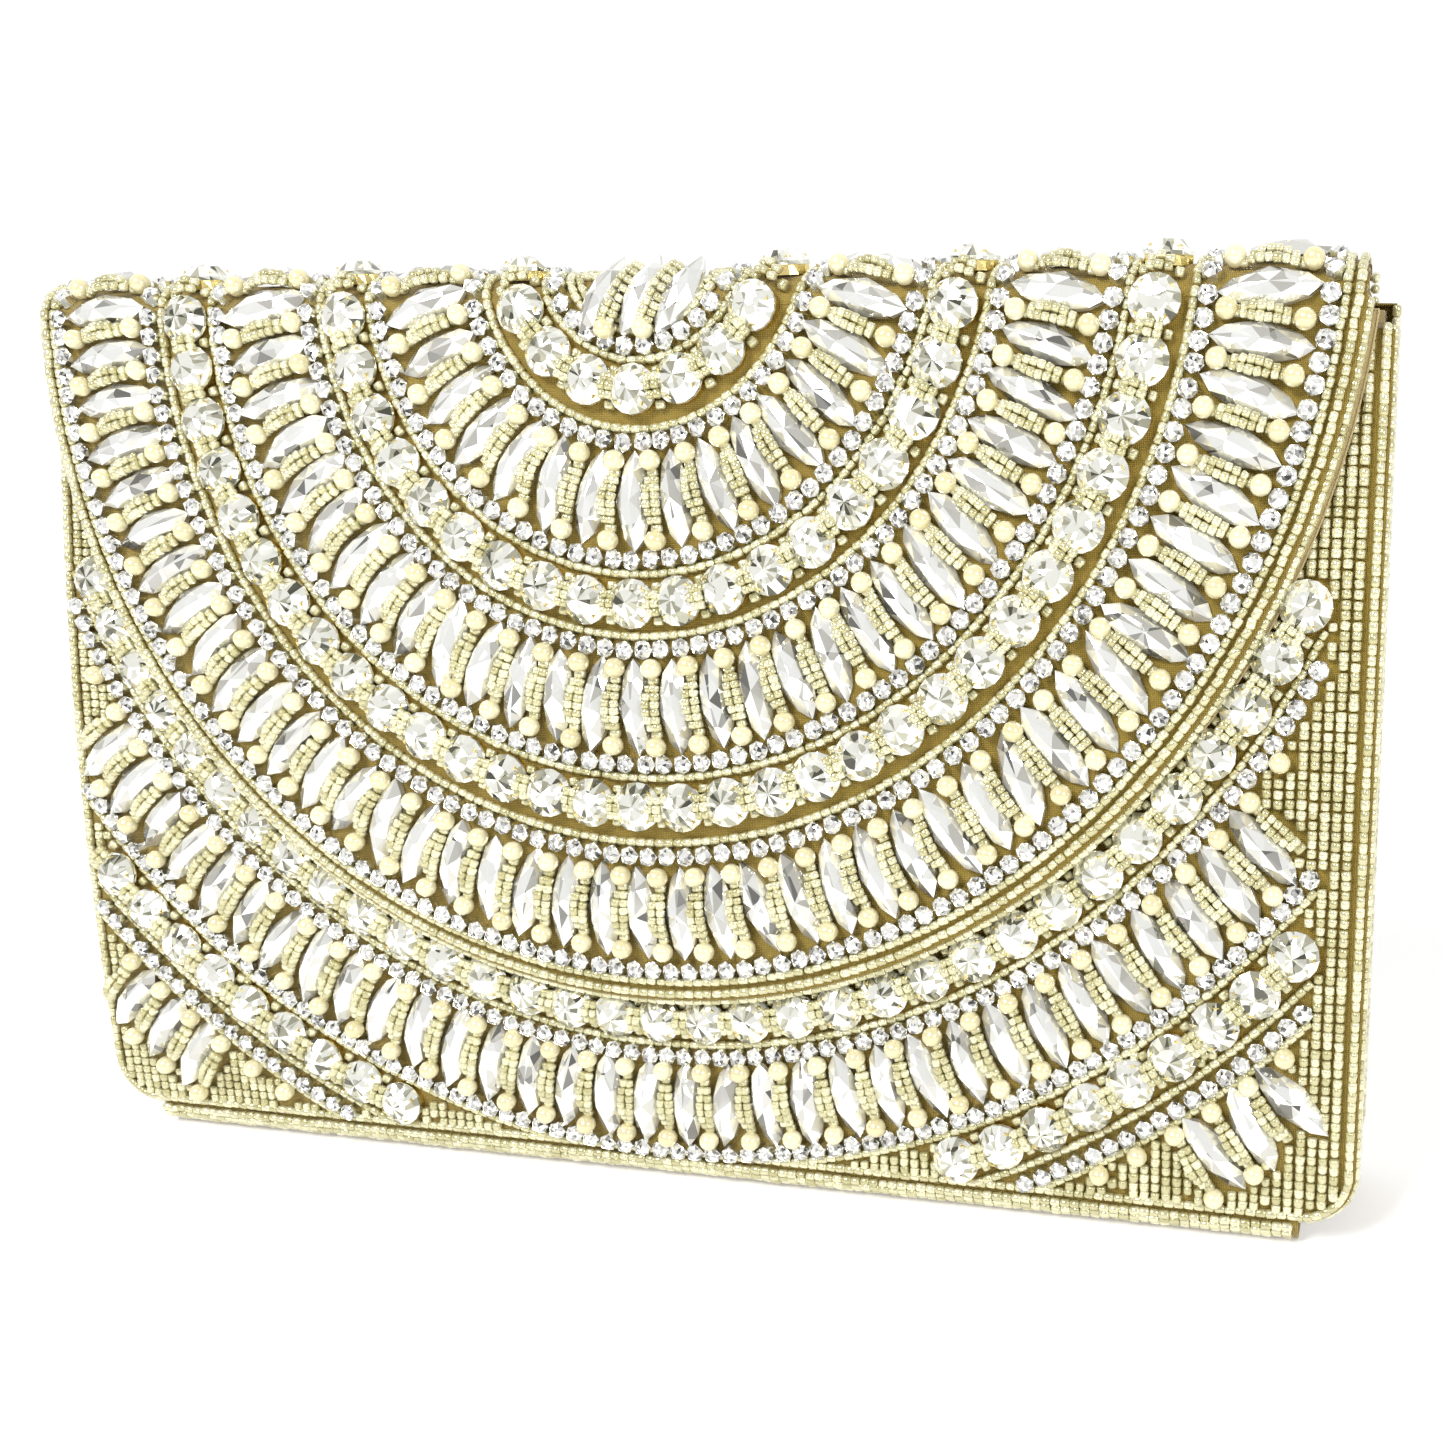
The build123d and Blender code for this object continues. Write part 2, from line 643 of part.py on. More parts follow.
# Columns of seed beads down both edges of the front
COLUMN_FOOT = 18
with BuildSketch() as columns:
    for side in (-1, 1):
        with Locations((side * (half_width + FRONT_EDGE + COLUMN_SHIFT) / 2, (COLUMN_FOOT + FRONT_TOP) / 2)):
            Rectangle(half_width - FRONT_EDGE - COLUMN_MARGIN, FRONT_TOP - COLUMN_FOOT)
with BuildPart() as front_edge_columns:
    add(bow_sheet(FRONT_LIFT + SEED, SEED, 0, sheet_end, columns.sketch))
save(front_edge_columns, "front_edge_columns")
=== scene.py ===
import math

import bpy
import numpy as np
from mathutils import Euler, Matrix, Vector


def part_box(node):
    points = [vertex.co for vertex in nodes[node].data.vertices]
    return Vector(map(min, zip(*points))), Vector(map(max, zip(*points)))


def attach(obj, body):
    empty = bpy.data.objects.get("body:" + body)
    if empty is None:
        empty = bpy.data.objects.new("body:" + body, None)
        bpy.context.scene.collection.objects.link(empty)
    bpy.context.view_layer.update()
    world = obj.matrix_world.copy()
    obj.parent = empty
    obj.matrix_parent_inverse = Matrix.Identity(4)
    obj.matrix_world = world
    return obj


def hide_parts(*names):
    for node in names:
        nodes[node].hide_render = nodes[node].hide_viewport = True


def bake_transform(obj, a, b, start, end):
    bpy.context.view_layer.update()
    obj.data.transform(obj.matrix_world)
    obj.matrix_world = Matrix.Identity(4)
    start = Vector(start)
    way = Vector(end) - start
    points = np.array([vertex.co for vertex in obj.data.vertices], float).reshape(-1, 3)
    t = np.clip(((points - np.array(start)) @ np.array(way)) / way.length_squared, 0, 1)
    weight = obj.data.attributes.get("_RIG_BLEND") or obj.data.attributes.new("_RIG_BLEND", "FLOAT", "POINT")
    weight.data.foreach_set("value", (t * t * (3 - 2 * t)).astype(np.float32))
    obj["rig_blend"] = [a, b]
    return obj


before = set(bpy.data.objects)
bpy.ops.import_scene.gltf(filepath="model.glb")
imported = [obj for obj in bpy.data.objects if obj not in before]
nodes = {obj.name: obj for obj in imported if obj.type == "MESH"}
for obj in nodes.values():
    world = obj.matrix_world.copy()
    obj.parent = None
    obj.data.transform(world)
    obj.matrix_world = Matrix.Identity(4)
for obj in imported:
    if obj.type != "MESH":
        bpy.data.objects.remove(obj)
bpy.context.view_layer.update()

# ---------------------------------------------------------------------------
# Flap cover: woven gold cloth stretched over a half-round stiffener and
# turned over its edge. The flap starts on a small fold and then has a long bow.
# A place on it is given by x and by the run along the cloth from the ridge.
# ---------------------------------------------------------------------------
FOLD_RADIUS = 0.007
BOW_RADIUS = 0.8
FLAP_LEAN = math.radians(14)
RING_BACK = 0.005
RING_SHIFT = -0.002
RING_SQUASH = 0.915
FLAP_REACH = 0.1465
COVER_RIM = 0.0024
COVER_THICKNESS = 0.0004
ridge_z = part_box("fold_cover")[1].z
back_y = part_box("back_cover")[1].y
fold_y = back_y - FOLD_RADIUS
fold_z = ridge_z - FOLD_RADIUS
fold_run = FOLD_RADIUS * (math.pi / 2 - FLAP_LEAN)
bow_y = fold_y + (BOW_RADIUS - FOLD_RADIUS) * math.cos(FLAP_LEAN)
bow_z = fold_z - (BOW_RADIUS - FOLD_RADIUS) * math.sin(FLAP_LEAN)


def seats(x, run, lift, turn):
    """Origins and axes of places on the bow: sideways, along the cloth, and out."""
    x, run, lift, turn = np.broadcast_arrays(
        np.asarray(x, float), np.asarray(run, float), np.asarray(lift, float), np.asarray(turn, float)
    )
    on_fold = run < fold_run
    angle = np.where(on_fold, run / FOLD_RADIUS, math.pi / 2 - FLAP_LEAN + (run - fold_run) / BOW_RADIUS)
    radius = np.where(on_fold, FOLD_RADIUS, BOW_RADIUS) + lift
    mid_y = np.where(on_fold, fold_y, bow_y)
    mid_z = np.where(on_fold, fold_z, bow_z)
    origin = np.stack([x, mid_y - radius * np.sin(angle), mid_z + radius * np.cos(angle)], -1)
    nought = np.zeros_like(angle)
    out = np.stack([nought, -np.sin(angle), np.cos(angle)], -1)
    up = np.stack([nought, np.cos(angle), np.sin(angle)], -1)
    side = np.stack([nought + 1, nought, nought], -1)
    c, s = np.cos(turn)[..., None], np.sin(turn)[..., None]
    return origin, np.stack([c * side + s * up, c * up - s * side, out], -1)


def unselect():
    """Leaves nothing selected, because an operator acts on all that is."""
    if bpy.context.object and bpy.context.object.mode != "OBJECT":
        bpy.ops.object.mode_set(mode="OBJECT")
    bpy.ops.object.select_all(action="DESELECT")


def finish(name, color, metallic=0.0, roughness=0.4, coat=0.0, coat_roughness=0.05):
    """A material with a Principled shader and its constant values."""
    material = bpy.data.materials.new(name)
    material.use_nodes = True
    shader = material.node_tree.nodes["Principled BSDF"]
    shader.inputs["Base Color"].default_value = (*color, 1)
    shader.inputs["Metallic"].default_value = metallic
    shader.inputs["Roughness"].default_value = roughness
    shader.inputs["Coat Weight"].default_value = coat
    shader.inputs["Coat Roughness"].default_value = coat_roughness
    return material, material.node_tree.nodes, material.node_tree.links, shader


def weave_group():
    """Two sets of threads that pass over and under each other."""
    group = bpy.data.node_groups.new("weave", "ShaderNodeTree")
    group.interface.new_socket("Scale", in_out="INPUT", socket_type="NodeSocketFloat")
    group.interface.new_socket("Height", in_out="OUTPUT", socket_type="NodeSocketFloat")
    n, link = group.nodes, group.links.new
    given = n.new("NodeGroupInput")
    result = n.new("NodeGroupOutput")
    place = n.new("ShaderNodeTexCoord")
    bands = []
    for direction in ("X", "Z"):
        wave = n.new("ShaderNodeTexWave")
        wave.wave_type = "BANDS"
        wave.bands_direction = direction
        wave.inputs["Distortion"].default_value = 0.6
        link(place.outputs["Object"], wave.inputs["Vector"])
        link(given.outputs["Scale"], wave.inputs["Scale"])
        bands.append(wave)
    both = n.new("ShaderNodeMath")
    both.operation = "MULTIPLY"
    link(bands[0].outputs["Fac"], both.inputs[0])
    link(bands[1].outputs["Fac"], both.inputs[1])
    link(both.outputs[0], result.inputs["Height"])
    return group

WEAVE = weave_group()


def cloth(name, dark, light, scale, roughness, metallic, strength):
    """Woven cloth: the threads are lighter than the gaps between them, whose darker colour is painted shade
    in the hollows of the weave.
    """
    material, n, links, shader = finish(name, light, metallic, roughness)
    weave = n.new("ShaderNodeGroup")
    weave.node_tree = WEAVE
    weave.inputs["Scale"].default_value = scale
    # The dark colour goes where the weave is low, between the threads: painted shade in its hollows.
    mix = n.new("ShaderNodeMix")
    mix.data_type = "RGBA"
    mix.inputs[6].default_value = (*dark, 1)
    mix.inputs[7].default_value = (*light, 1)
    links.new(weave.outputs["Height"], mix.inputs["Factor"])
    links.new(mix.outputs[2], shader.inputs["Base Color"])
    bump = n.new("ShaderNodeBump")
    bump.inputs["Strength"].default_value = strength
    bump.inputs["Distance"].default_value = 0.0003
    links.new(weave.outputs["Height"], bump.inputs["Height"])
    links.new(bump.outputs["Normal"], shader.inputs["Normal"])
    shader.inputs["Sheen Weight"].default_value = 0.3
    return material

gold_cloth = cloth("gold_cloth", (0.22, 0.145, 0.012), (0.52, 0.38, 0.05), 900, 0.45, 0.3, 0.6)


def cloth_sheet(name, material, width_at, low, high, place, rim, thickness, columns=72, rows=48):
    """A sheet stretched over a panel: a grid mapped to the panel, with its border turned over by rim."""
    unselect()
    bpy.ops.mesh.primitive_grid_add(x_subdivisions=columns, y_subdivisions=rows, size=2)
    sheet = bpy.context.object
    sheet.name = name
    mesh = sheet.data
    flat = np.empty(len(mesh.vertices) * 3)
    mesh.vertices.foreach_get("co", flat)
    flat = flat.reshape(-1, 3)
    across, along = flat[:, 0], flat[:, 1]
    # the outermost rows of the grid are the turned-over border
    edge_x, edge_y = 1 - 2 / columns, 1 - 2 / rows
    turned = (np.abs(across) > edge_x + 1e-4) | (np.abs(along) > edge_y + 1e-4)
    across = np.clip(across / edge_x, -1, 1)
    along = np.clip(along / edge_y, -1, 1)
    eased = np.sin(along * math.pi / 2)
    run = (low + high) / 2 + eased * (high - low) / 2
    x = RING_SHIFT * (name.startswith("flap")) + across * width_at(run)
    pucker = 0.00008 * np.sin(x * 900) * np.sin(run * 1100)
    lift = np.where(turned, -rim, pucker)
    points = place(x, run, lift)
    mesh.vertices.foreach_set("co", points.astype(np.float32).ravel())
    unselect()
    sheet.select_set(True)
    bpy.context.view_layer.objects.active = sheet
    bpy.ops.object.mode_set(mode="EDIT")
    bpy.ops.mesh.select_all(action="SELECT")
    bpy.ops.mesh.remove_doubles(threshold=0.00002)
    bpy.ops.object.mode_set(mode="OBJECT")
    solid = sheet.modifiers.new("thickness", "SOLIDIFY")
    solid.thickness = thickness
    solid.offset = -1
    bpy.ops.object.modifier_apply(modifier=solid.name)
    bpy.ops.object.shade_smooth_by_angle(angle=math.radians(50))
    mesh.materials.append(material)
    return sheet


def flap_width(inset):
    """Half width of the half-round flap at a run."""

    def width(run):
        room = (FLAP_REACH - inset) ** 2 - (run + RING_BACK) ** 2
        return RING_SQUASH * np.sqrt(np.maximum(room, 1e-8))

    return width


def on_bow(extra):
    """Points on a surface parallel to the bow."""
    return lambda x, run, lift: seats(x, run, lift + extra, 0)[0]

flap_tip = FLAP_REACH - RING_BACK
flap_cloth = cloth_sheet(
    "flap_cloth", gold_cloth, flap_width(0), fold_run, flap_tip - 0.00005,
    on_bow(0), COVER_RIM, COVER_THICKNESS
)
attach(flap_cloth, "flap")
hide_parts("flap_cover")

# ---------------------------------------------------------------------------
# Front cover: the same gold cloth over the front board, which lies a little
# behind the flap. Its edge is turned over and its lower corners are round.
# ---------------------------------------------------------------------------
half_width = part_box("back_cover")[1].x
PANEL = 0.003
front_lift = -(PANEL + 0.0022)


def rounded_width(inset, low_end, corner):
    """Half width of a panel whose lower corners are round; low_end is the run of its lower edge."""

    def width(run):
        depth = np.clip(corner - (low_end - run), 0, corner)
        return half_width - inset - corner + np.sqrt(np.maximum(corner**2 - depth**2, 1e-10))

    return width

FRONT_TOP_RUN = 0.0142
front_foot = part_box("front_cover")[0].z
FRONT_CORNER = 0.01
foot_angle = math.asin((front_foot - bow_z) / (BOW_RADIUS + front_lift))
front_end = fold_run + BOW_RADIUS * (FLAP_LEAN - foot_angle)
front_cloth = cloth_sheet(
    "front_cloth", gold_cloth, rounded_width(0, front_end, FRONT_CORNER), FRONT_TOP_RUN, front_end,
    on_bow(front_lift), COVER_RIM, COVER_THICKNESS
)
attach(front_cloth, "front_panel")
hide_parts("front_cover")

# ---------------------------------------------------------------------------
# Linings of the flap and the front: champagne satin glued inside the boards,
# a seam's width in from the edge.
# ---------------------------------------------------------------------------
SEAM = 0.002
LINING_THICKNESS = 0.0003
satin_cloth = cloth("satin_cloth", (0.5, 0.38, 0.17), (0.72, 0.6, 0.33), 1500, 0.32, 0.1, 0.25)


def on_bow_flipped(extra):
    """The same, for the inner side: a lift goes inwards."""
    return lambda x, run, lift: seats(-x, run, extra - lift, 0)[0]

for name, node, body, inset, low, high, extra in (
    ("flap_lining_satin", "flap_lining", "flap", SEAM, fold_run + SEAM, flap_tip - 0.0022, -PANEL),
    (
        "front_lining_satin", "front_lining", "front_panel",
        SEAM, FRONT_TOP_RUN, front_end - SEAM, front_lift - PANEL
    ),
):
    shape = flap_width(inset) if body == "flap" else rounded_width(inset, front_end, FRONT_CORNER)
    lining = cloth_sheet(
        name, satin_cloth, shape, low, high, on_bow_flipped(extra), LINING_THICKNESS, LINING_THICKNESS
    )
    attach(lining, body)
    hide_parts(node)

# ---------------------------------------------------------------------------
# Back cover and lining: gold cloth outside and satin inside a flat board with
# round lower corners.
# ---------------------------------------------------------------------------
back_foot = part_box("back_cover")[0].z


def on_back(y, sign):
    """Points on the back panel; the run goes down from the end of the fold."""
    return lambda x, run, lift: np.stack([-sign * x, y + sign * lift, fold_z - run], -1)

back_drop = fold_z - back_foot
back_cloth = cloth_sheet(
    "back_cloth", gold_cloth, rounded_width(0, back_drop, FRONT_CORNER), 0, back_drop,
    on_back(back_y, 1), COVER_RIM, COVER_THICKNESS
)
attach(back_cloth, "back_shell")
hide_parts("back_cover")
lining_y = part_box("back_lining")[0].y
back_satin = cloth_sheet(
    "back_lining_satin", satin_cloth, rounded_width(SEAM, back_drop, FRONT_CORNER), 0.001, back_drop,
    on_back(lining_y, -1), LINING_THICKNESS, LINING_THICKNESS
)
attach(back_satin, "back_shell")
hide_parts("back_lining")

# ---------------------------------------------------------------------------
# Slip pocket: a single panel of satin sewn to the back lining along three
# sides, open at the top.
# ---------------------------------------------------------------------------
pocket_low, pocket_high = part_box("slip_pocket")
pocket = cloth_sheet(
    "slip_pocket_satin", satin_cloth, lambda run: np.full_like(run, pocket_high.x),
    fold_z - pocket_high.z, fold_z - pocket_low.z,
    on_back(pocket_low.y, -1), 0.001, 0.0004, 40, 30
)
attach(pocket, "back_shell")
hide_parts("slip_pocket")

# ---------------------------------------------------------------------------
# Fold: the strip of gold cloth and its satin lining that let the flap turn.
# Both are sewn to the back board and the flap board.
# ---------------------------------------------------------------------------
FOLD_START = (0, back_y, fold_z)
FOLD_END = (0, fold_y - FOLD_RADIUS * math.cos(FLAP_LEAN), fold_z)
fold_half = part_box("fold_cover")[1].x - RING_SHIFT
for name, node, extra, thickness, material, slot_name in (
    ("fold_cloth", "fold_cover", 0.0, COVER_THICKNESS, gold_cloth, "fabric"),
    ("fold_lining_satin", "fold_lining", -0.0010, LINING_THICKNESS, satin_cloth, "satin"),
):
    turn_back = -FOLD_RADIUS * math.pi / 2
    strip = cloth_sheet(
        name, material, lambda run: np.full_like(run, fold_half), turn_back, fold_run,
        on_bow(extra), 0.0, thickness, 60, 24
    )
    for v in strip.data.vertices:
        v.co.x += RING_SHIFT
    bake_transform(strip, "back_shell", "flap", start=FOLD_START, end=FOLD_END)
    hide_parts(node)

# ---------------------------------------------------------------------------
# Gussets: soft satin sides sewn between the front and back linings. They sink
# inwards at the middle.
# ---------------------------------------------------------------------------
gusset_low, gusset_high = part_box("right_gusset")
GUSSET_SLAB = 0.0045
for name, side in (("left_gusset", -1), ("right_gusset", 1)):
    unselect()
    bpy.ops.mesh.primitive_grid_add(x_subdivisions=20, y_subdivisions=40, size=2)
    gusset = bpy.context.object
    gusset.name = name + "_satin"
    for v in gusset.data.vertices:
        z = gusset_low.z + (v.co.y + 1) / 2 * (gusset_high.z - gusset_low.z)
        front_y = bow_y - math.sqrt((BOW_RADIUS + front_lift - PANEL) ** 2 - (z - bow_z) ** 2)
        y = front_y + (v.co.x + 1) / 2 * (lining_y - front_y)
        inward = 0.003 * (1 - v.co.x**2)
        v.co = (side * (gusset_high.x - 0.0004 - inward), y, z)
    unselect()
    gusset.select_set(True)
    bpy.context.view_layer.objects.active = gusset
    solid = gusset.modifiers.new("thickness", "SOLIDIFY")
    solid.thickness = 0.0005
    solid.offset = 0
    bpy.ops.object.modifier_apply(modifier=solid.name)
    bpy.ops.object.shade_smooth_by_angle(angle=math.radians(50))
    gusset.data.materials.append(satin_cloth)
    top_y = bow_y - math.sqrt((BOW_RADIUS + front_lift - PANEL) ** 2 - (gusset_high.z - bow_z) ** 2)
    foot_y = bow_y - math.sqrt((BOW_RADIUS + front_lift - PANEL) ** 2 - (gusset_low.z - bow_z) ** 2)
    chord = math.atan2(top_y - foot_y, gusset_high.z - gusset_low.z)
    end = (0, top_y, gusset_high.z)
    start = (0, top_y + GUSSET_SLAB * math.cos(chord), gusset_high.z - GUSSET_SLAB * math.sin(chord))
    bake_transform(gusset, "back_shell", "front_panel", start=start, end=end)
    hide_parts(name)

# ---------------------------------------------------------------------------
# Boards, base and snap: card stiffeners inside the covers, the cloth strip
# underneath, and a gilt magnetic snap held by steel washers.
# ---------------------------------------------------------------------------
card_board = cloth("card_board", (0.34, 0.26, 0.17), (0.46, 0.37, 0.25), 260, 0.9, 0.0, 0.2)


def plated(name, color, roughness):
    """Plated metal with a fine uneven polish."""
    material, n, links, shader = finish(name, color, 1.0, roughness)
    place = n.new("ShaderNodeTexCoord")
    noise = n.new("ShaderNodeTexNoise")
    noise.inputs["Scale"].default_value = 700
    noise.inputs["Detail"].default_value = 3
    links.new(place.outputs["Object"], noise.inputs["Vector"])
    shade = n.new("ShaderNodeMapRange")
    shade.inputs["To Min"].default_value = roughness * 0.7
    shade.inputs["To Max"].default_value = roughness * 1.5
    links.new(noise.outputs["Fac"], shade.inputs["Value"])
    links.new(shade.outputs[0], shader.inputs["Roughness"])
    return material

gold_plate = plated("gold_plate", (0.82, 0.66, 0.27), 0.22)
steel_plate = plated("steel_plate", (0.5, 0.5, 0.5), 0.35)
for name in ("flap_board", "front_board", "back_board", "base_board"):
    nodes[name].data.materials.clear()
    nodes[name].data.materials.append(card_board)
for name, material in (
    ("base_cover", gold_cloth),
    ("base_lining", satin_cloth),
    ("flap_snap_stud", gold_plate),
    ("front_snap_socket", gold_plate),
    ("flap_snap_washer", steel_plate),
    ("front_snap_washer", steel_plate),
):
    nodes[name].data.materials.clear()
    nodes[name].data.materials.append(material)

# ---------------------------------------------------------------------------
# Navettes: pointed stones of foil-backed pressed glass, sewn side by side in
# rings. Each is a girdle, a belt of crown facets turned half a step, and a fan
# of facets that rises to the middle.
# ---------------------------------------------------------------------------
rng = np.random.default_rng(11)


def ring(radius, angle):
    """Sideways place, run and turn of points of a ring."""
    angle = np.asarray(angle, float)
    x = RING_SHIFT + RING_SQUASH * radius * np.sin(angle)
    run = radius * np.cos(angle) - RING_BACK
    return x, run, np.arctan2(RING_SQUASH * np.sin(angle), np.cos(angle))


def ring_stones(count):
    """Angles of the stones of a ring."""
    return -math.pi / 2 + math.pi / count * (np.arange(count) + 0.5)


def tilted(axes, amount):
    """Axes with a small random tilt, as hand sewing leaves them."""
    lean = rng.normal(0, amount, (len(axes), 3))
    turned = axes.copy()
    for i in range(3):
        turned[:, :, i] += np.cross(lean, axes[:, :, i])
    return turned / np.linalg.norm(turned, axis=1, keepdims=True)


def sew(name, bead, places, size=1.0, smooth=False):
    """One mesh of many copies of a bead. size is one number, or three for each copy."""
    origin, axes = places
    count = len(origin)
    if np.ndim(size) < 2:
        size = np.asarray(size, float).reshape(-1, 1)
    size = np.broadcast_to(size, (count, 3))
    mesh = bead.data
    base = np.empty(len(mesh.vertices) * 3)
    mesh.vertices.foreach_get("co", base)
    base = base.reshape(-1, 3)
    points = origin[:, None, :] + np.einsum("nij,nmj->nmi", axes, base[None] * size[:, None, :])
    corner = np.empty(len(mesh.loops), np.int32)
    mesh.loops.foreach_get("vertex_index", corner)
    starts = np.empty(len(mesh.polygons), np.int32)
    mesh.polygons.foreach_get("loop_start", starts)
    step = np.arange(count, dtype=np.int32)[:, None]
    made = bpy.data.meshes.new(name)
    made.vertices.add(count * len(base))
    made.vertices.foreach_set("co", points.astype(np.float32).ravel())
    made.loops.add(count * len(corner))
    made.loops.foreach_set("vertex_index", (corner[None] + step * len(base)).astype(np.int32).ravel())
    made.polygons.add(count * len(starts))
    made.polygons.foreach_set("loop_start", (starts[None] + step * len(corner)).astype(np.int32).ravel())
    made.polygons.foreach_set("use_smooth", np.full(count * len(starts), smooth))
    made.update(calc_edges=True)
    reflection_tone = made.attributes.new("reflection_tone", "FLOAT", "FACE")
    reflection_tone.data.foreach_set("value", rng.random(count * len(starts)).astype(np.float32))
    whole = made.attributes.new("whole", "FLOAT", "FACE")
    whole.data.foreach_set("value", np.repeat(rng.random(count), len(starts)).astype(np.float32))
    made.validate()
    piece = bpy.data.objects.new(name, made)
    bpy.context.collection.objects.link(piece)
    piece["copies"] = count
    return piece


def ride_fold(piece):
    """The piece follows the flap, and on the fold each whole bead turns part of the way."""
    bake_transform(piece, "back_shell", "flap", start=FOLD_START, end=FOLD_END)
    share = piece.data.attributes["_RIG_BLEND"].data
    values = np.empty(len(share), np.float32)
    share.foreach_get("value", values)
    whole = values.reshape(piece["copies"], -1).mean(1)
    share.foreach_set("value", np.repeat(whole, len(values) // piece["copies"]).astype(np.float32))


def painted_reflection_group():
    """Cut glass over foil: each facet is painted a grey from dark to light as its reflection, broken into
    smaller mirrored facets.
    """
    group = bpy.data.node_groups.new("facets", "ShaderNodeTree")
    for socket in ("Dark", "Mid", "Light"):
        group.interface.new_socket(socket, in_out="INPUT", socket_type="NodeSocketColor")
    group.interface.new_socket("Scale", in_out="INPUT", socket_type="NodeSocketFloat")
    group.interface.new_socket("Lean", in_out="INPUT", socket_type="NodeSocketFloat")
    group.interface.new_socket("Color", in_out="OUTPUT", socket_type="NodeSocketColor")
    group.interface.new_socket("Normal", in_out="OUTPUT", socket_type="NodeSocketVector")
    n, link = group.nodes, group.links.new
    given = n.new("NodeGroupInput")
    result = n.new("NodeGroupOutput")
    place = n.new("ShaderNodeTexCoord")
    reflection_tone = n.new("ShaderNodeAttribute")
    reflection_tone.attribute_name = "reflection_tone"
    cells = n.new("ShaderNodeTexVoronoi")
    cells.inputs["Randomness"].default_value = 1.0
    link(place.outputs["Object"], cells.inputs["Vector"])
    link(given.outputs["Scale"], cells.inputs["Scale"])
    split = n.new("ShaderNodeSeparateColor")
    link(cells.outputs["Color"], split.inputs["Color"])
    blend = n.new("ShaderNodeMath")
    blend.operation = "MULTIPLY_ADD"
    blend.inputs[1].default_value = 0.35
    link(split.outputs["Red"], blend.inputs[0])
    share = n.new("ShaderNodeMath")
    share.operation = "MULTIPLY"
    share.inputs[1].default_value = 0.65
    link(reflection_tone.outputs["Fac"], share.inputs[0])
    link(share.outputs[0], blend.inputs[2])
    # Each facet's random value, mixed with the cells, picks a dark, mid or light grey: painted reflections
    # of the cut glass.
    first = n.new("ShaderNodeMapRange")
    first.interpolation_type = "SMOOTHSTEP"
    first.inputs["From Min"].default_value = 0.14
    first.inputs["From Max"].default_value = 0.2
    link(blend.outputs[0], first.inputs["Value"])
    second = n.new("ShaderNodeMapRange")
    second.interpolation_type = "SMOOTHSTEP"
    second.inputs["From Min"].default_value = 0.34
    second.inputs["From Max"].default_value = 0.44
    link(blend.outputs[0], second.inputs["Value"])
    low = n.new("ShaderNodeMix")
    low.data_type = "RGBA"
    link(first.outputs[0], low.inputs["Factor"])
    link(given.outputs["Dark"], low.inputs[6])
    link(given.outputs["Mid"], low.inputs[7])
    high = n.new("ShaderNodeMix")
    high.data_type = "RGBA"
    link(second.outputs[0], high.inputs["Factor"])
    link(low.outputs[2], high.inputs[6])
    link(given.outputs["Light"], high.inputs[7])
    link(high.outputs[2], result.inputs["Color"])
    centred = n.new("ShaderNodeVectorMath")
    centred.operation = "SUBTRACT"
    centred.inputs[1].default_value = (0.5, 0.5, 0.5)
    link(cells.outputs["Color"], centred.inputs[0])
    leaned = n.new("ShaderNodeVectorMath")
    leaned.operation = "SCALE"
    link(centred.outputs[0], leaned.inputs[0])
    link(given.outputs["Lean"], leaned.inputs["Scale"])
    surface = n.new("ShaderNodeNewGeometry")
    total = n.new("ShaderNodeVectorMath")
    total.operation = "ADD"
    link(surface.outputs["Normal"], total.inputs[0])
    link(leaned.outputs[0], total.inputs[1])
    unit = n.new("ShaderNodeVectorMath")
    unit.operation = "NORMALIZE"
    link(total.outputs[0], unit.inputs[0])
    link(unit.outputs[0], result.inputs["Normal"])
    return group

PAINTED_REFLECTIONS = painted_reflection_group()


def cut_glass(name, dark, mid, light, scale, lean, metallic, roughness):
    """Foil-backed cut glass: facets with painted reflections from the group, mirror-like, under a clear
    coat.
    """
    material, n, links, shader = finish(name, light, metallic, roughness, 1.0, 0.02)
    facets = n.new("ShaderNodeGroup")
    facets.node_tree = PAINTED_REFLECTIONS
    facets.inputs["Dark"].default_value = (*dark, 1)
    facets.inputs["Mid"].default_value = (*mid, 1)
    facets.inputs["Light"].default_value = (*light, 1)
    facets.inputs["Scale"].default_value = scale
    facets.inputs["Lean"].default_value = lean
    links.new(facets.outputs["Color"], shader.inputs["Base Color"])
    links.new(facets.outputs["Normal"], shader.inputs["Normal"])
    return material

# Dark, mid and light greys of the facets: painted reflections.
clear_crystal = cut_glass(
    "clear_crystal", (0.19, 0.185, 0.17), (0.6, 0.59, 0.54), (0.97, 0.97, 0.94), 210, 0.3, 0.6, 0.06
)


def cut_stone(name, sides, girdle, crown, waist, dome):
    """A faceted stone of radius 1, standing on its girdle."""
    unselect()
    bpy.ops.mesh.primitive_circle_add(vertices=sides, radius=1, fill_type="NGON")
    stone = bpy.context.object
    stone.name = name
    bpy.ops.object.mode_set(mode="EDIT")
    bpy.ops.mesh.select_all(action="SELECT")
    bpy.ops.mesh.extrude_region_move(TRANSFORM_OT_translate={"value": (0, 0, girdle)})
    bpy.ops.mesh.extrude_region_move(TRANSFORM_OT_translate={"value": (0, 0, crown)})
    bpy.ops.transform.resize(value=(waist, waist, 1))
    bpy.ops.transform.rotate(value=math.pi / sides, orient_axis="Z", center_override=(0, 0, 0))
    bpy.ops.mesh.poke(offset=dome)
    bpy.ops.mesh.select_all(action="SELECT")
    bpy.ops.mesh.quads_convert_to_tris()
    bpy.ops.mesh.normals_make_consistent(inside=False)
    bpy.ops.object.mode_set(mode="OBJECT")
    return stone


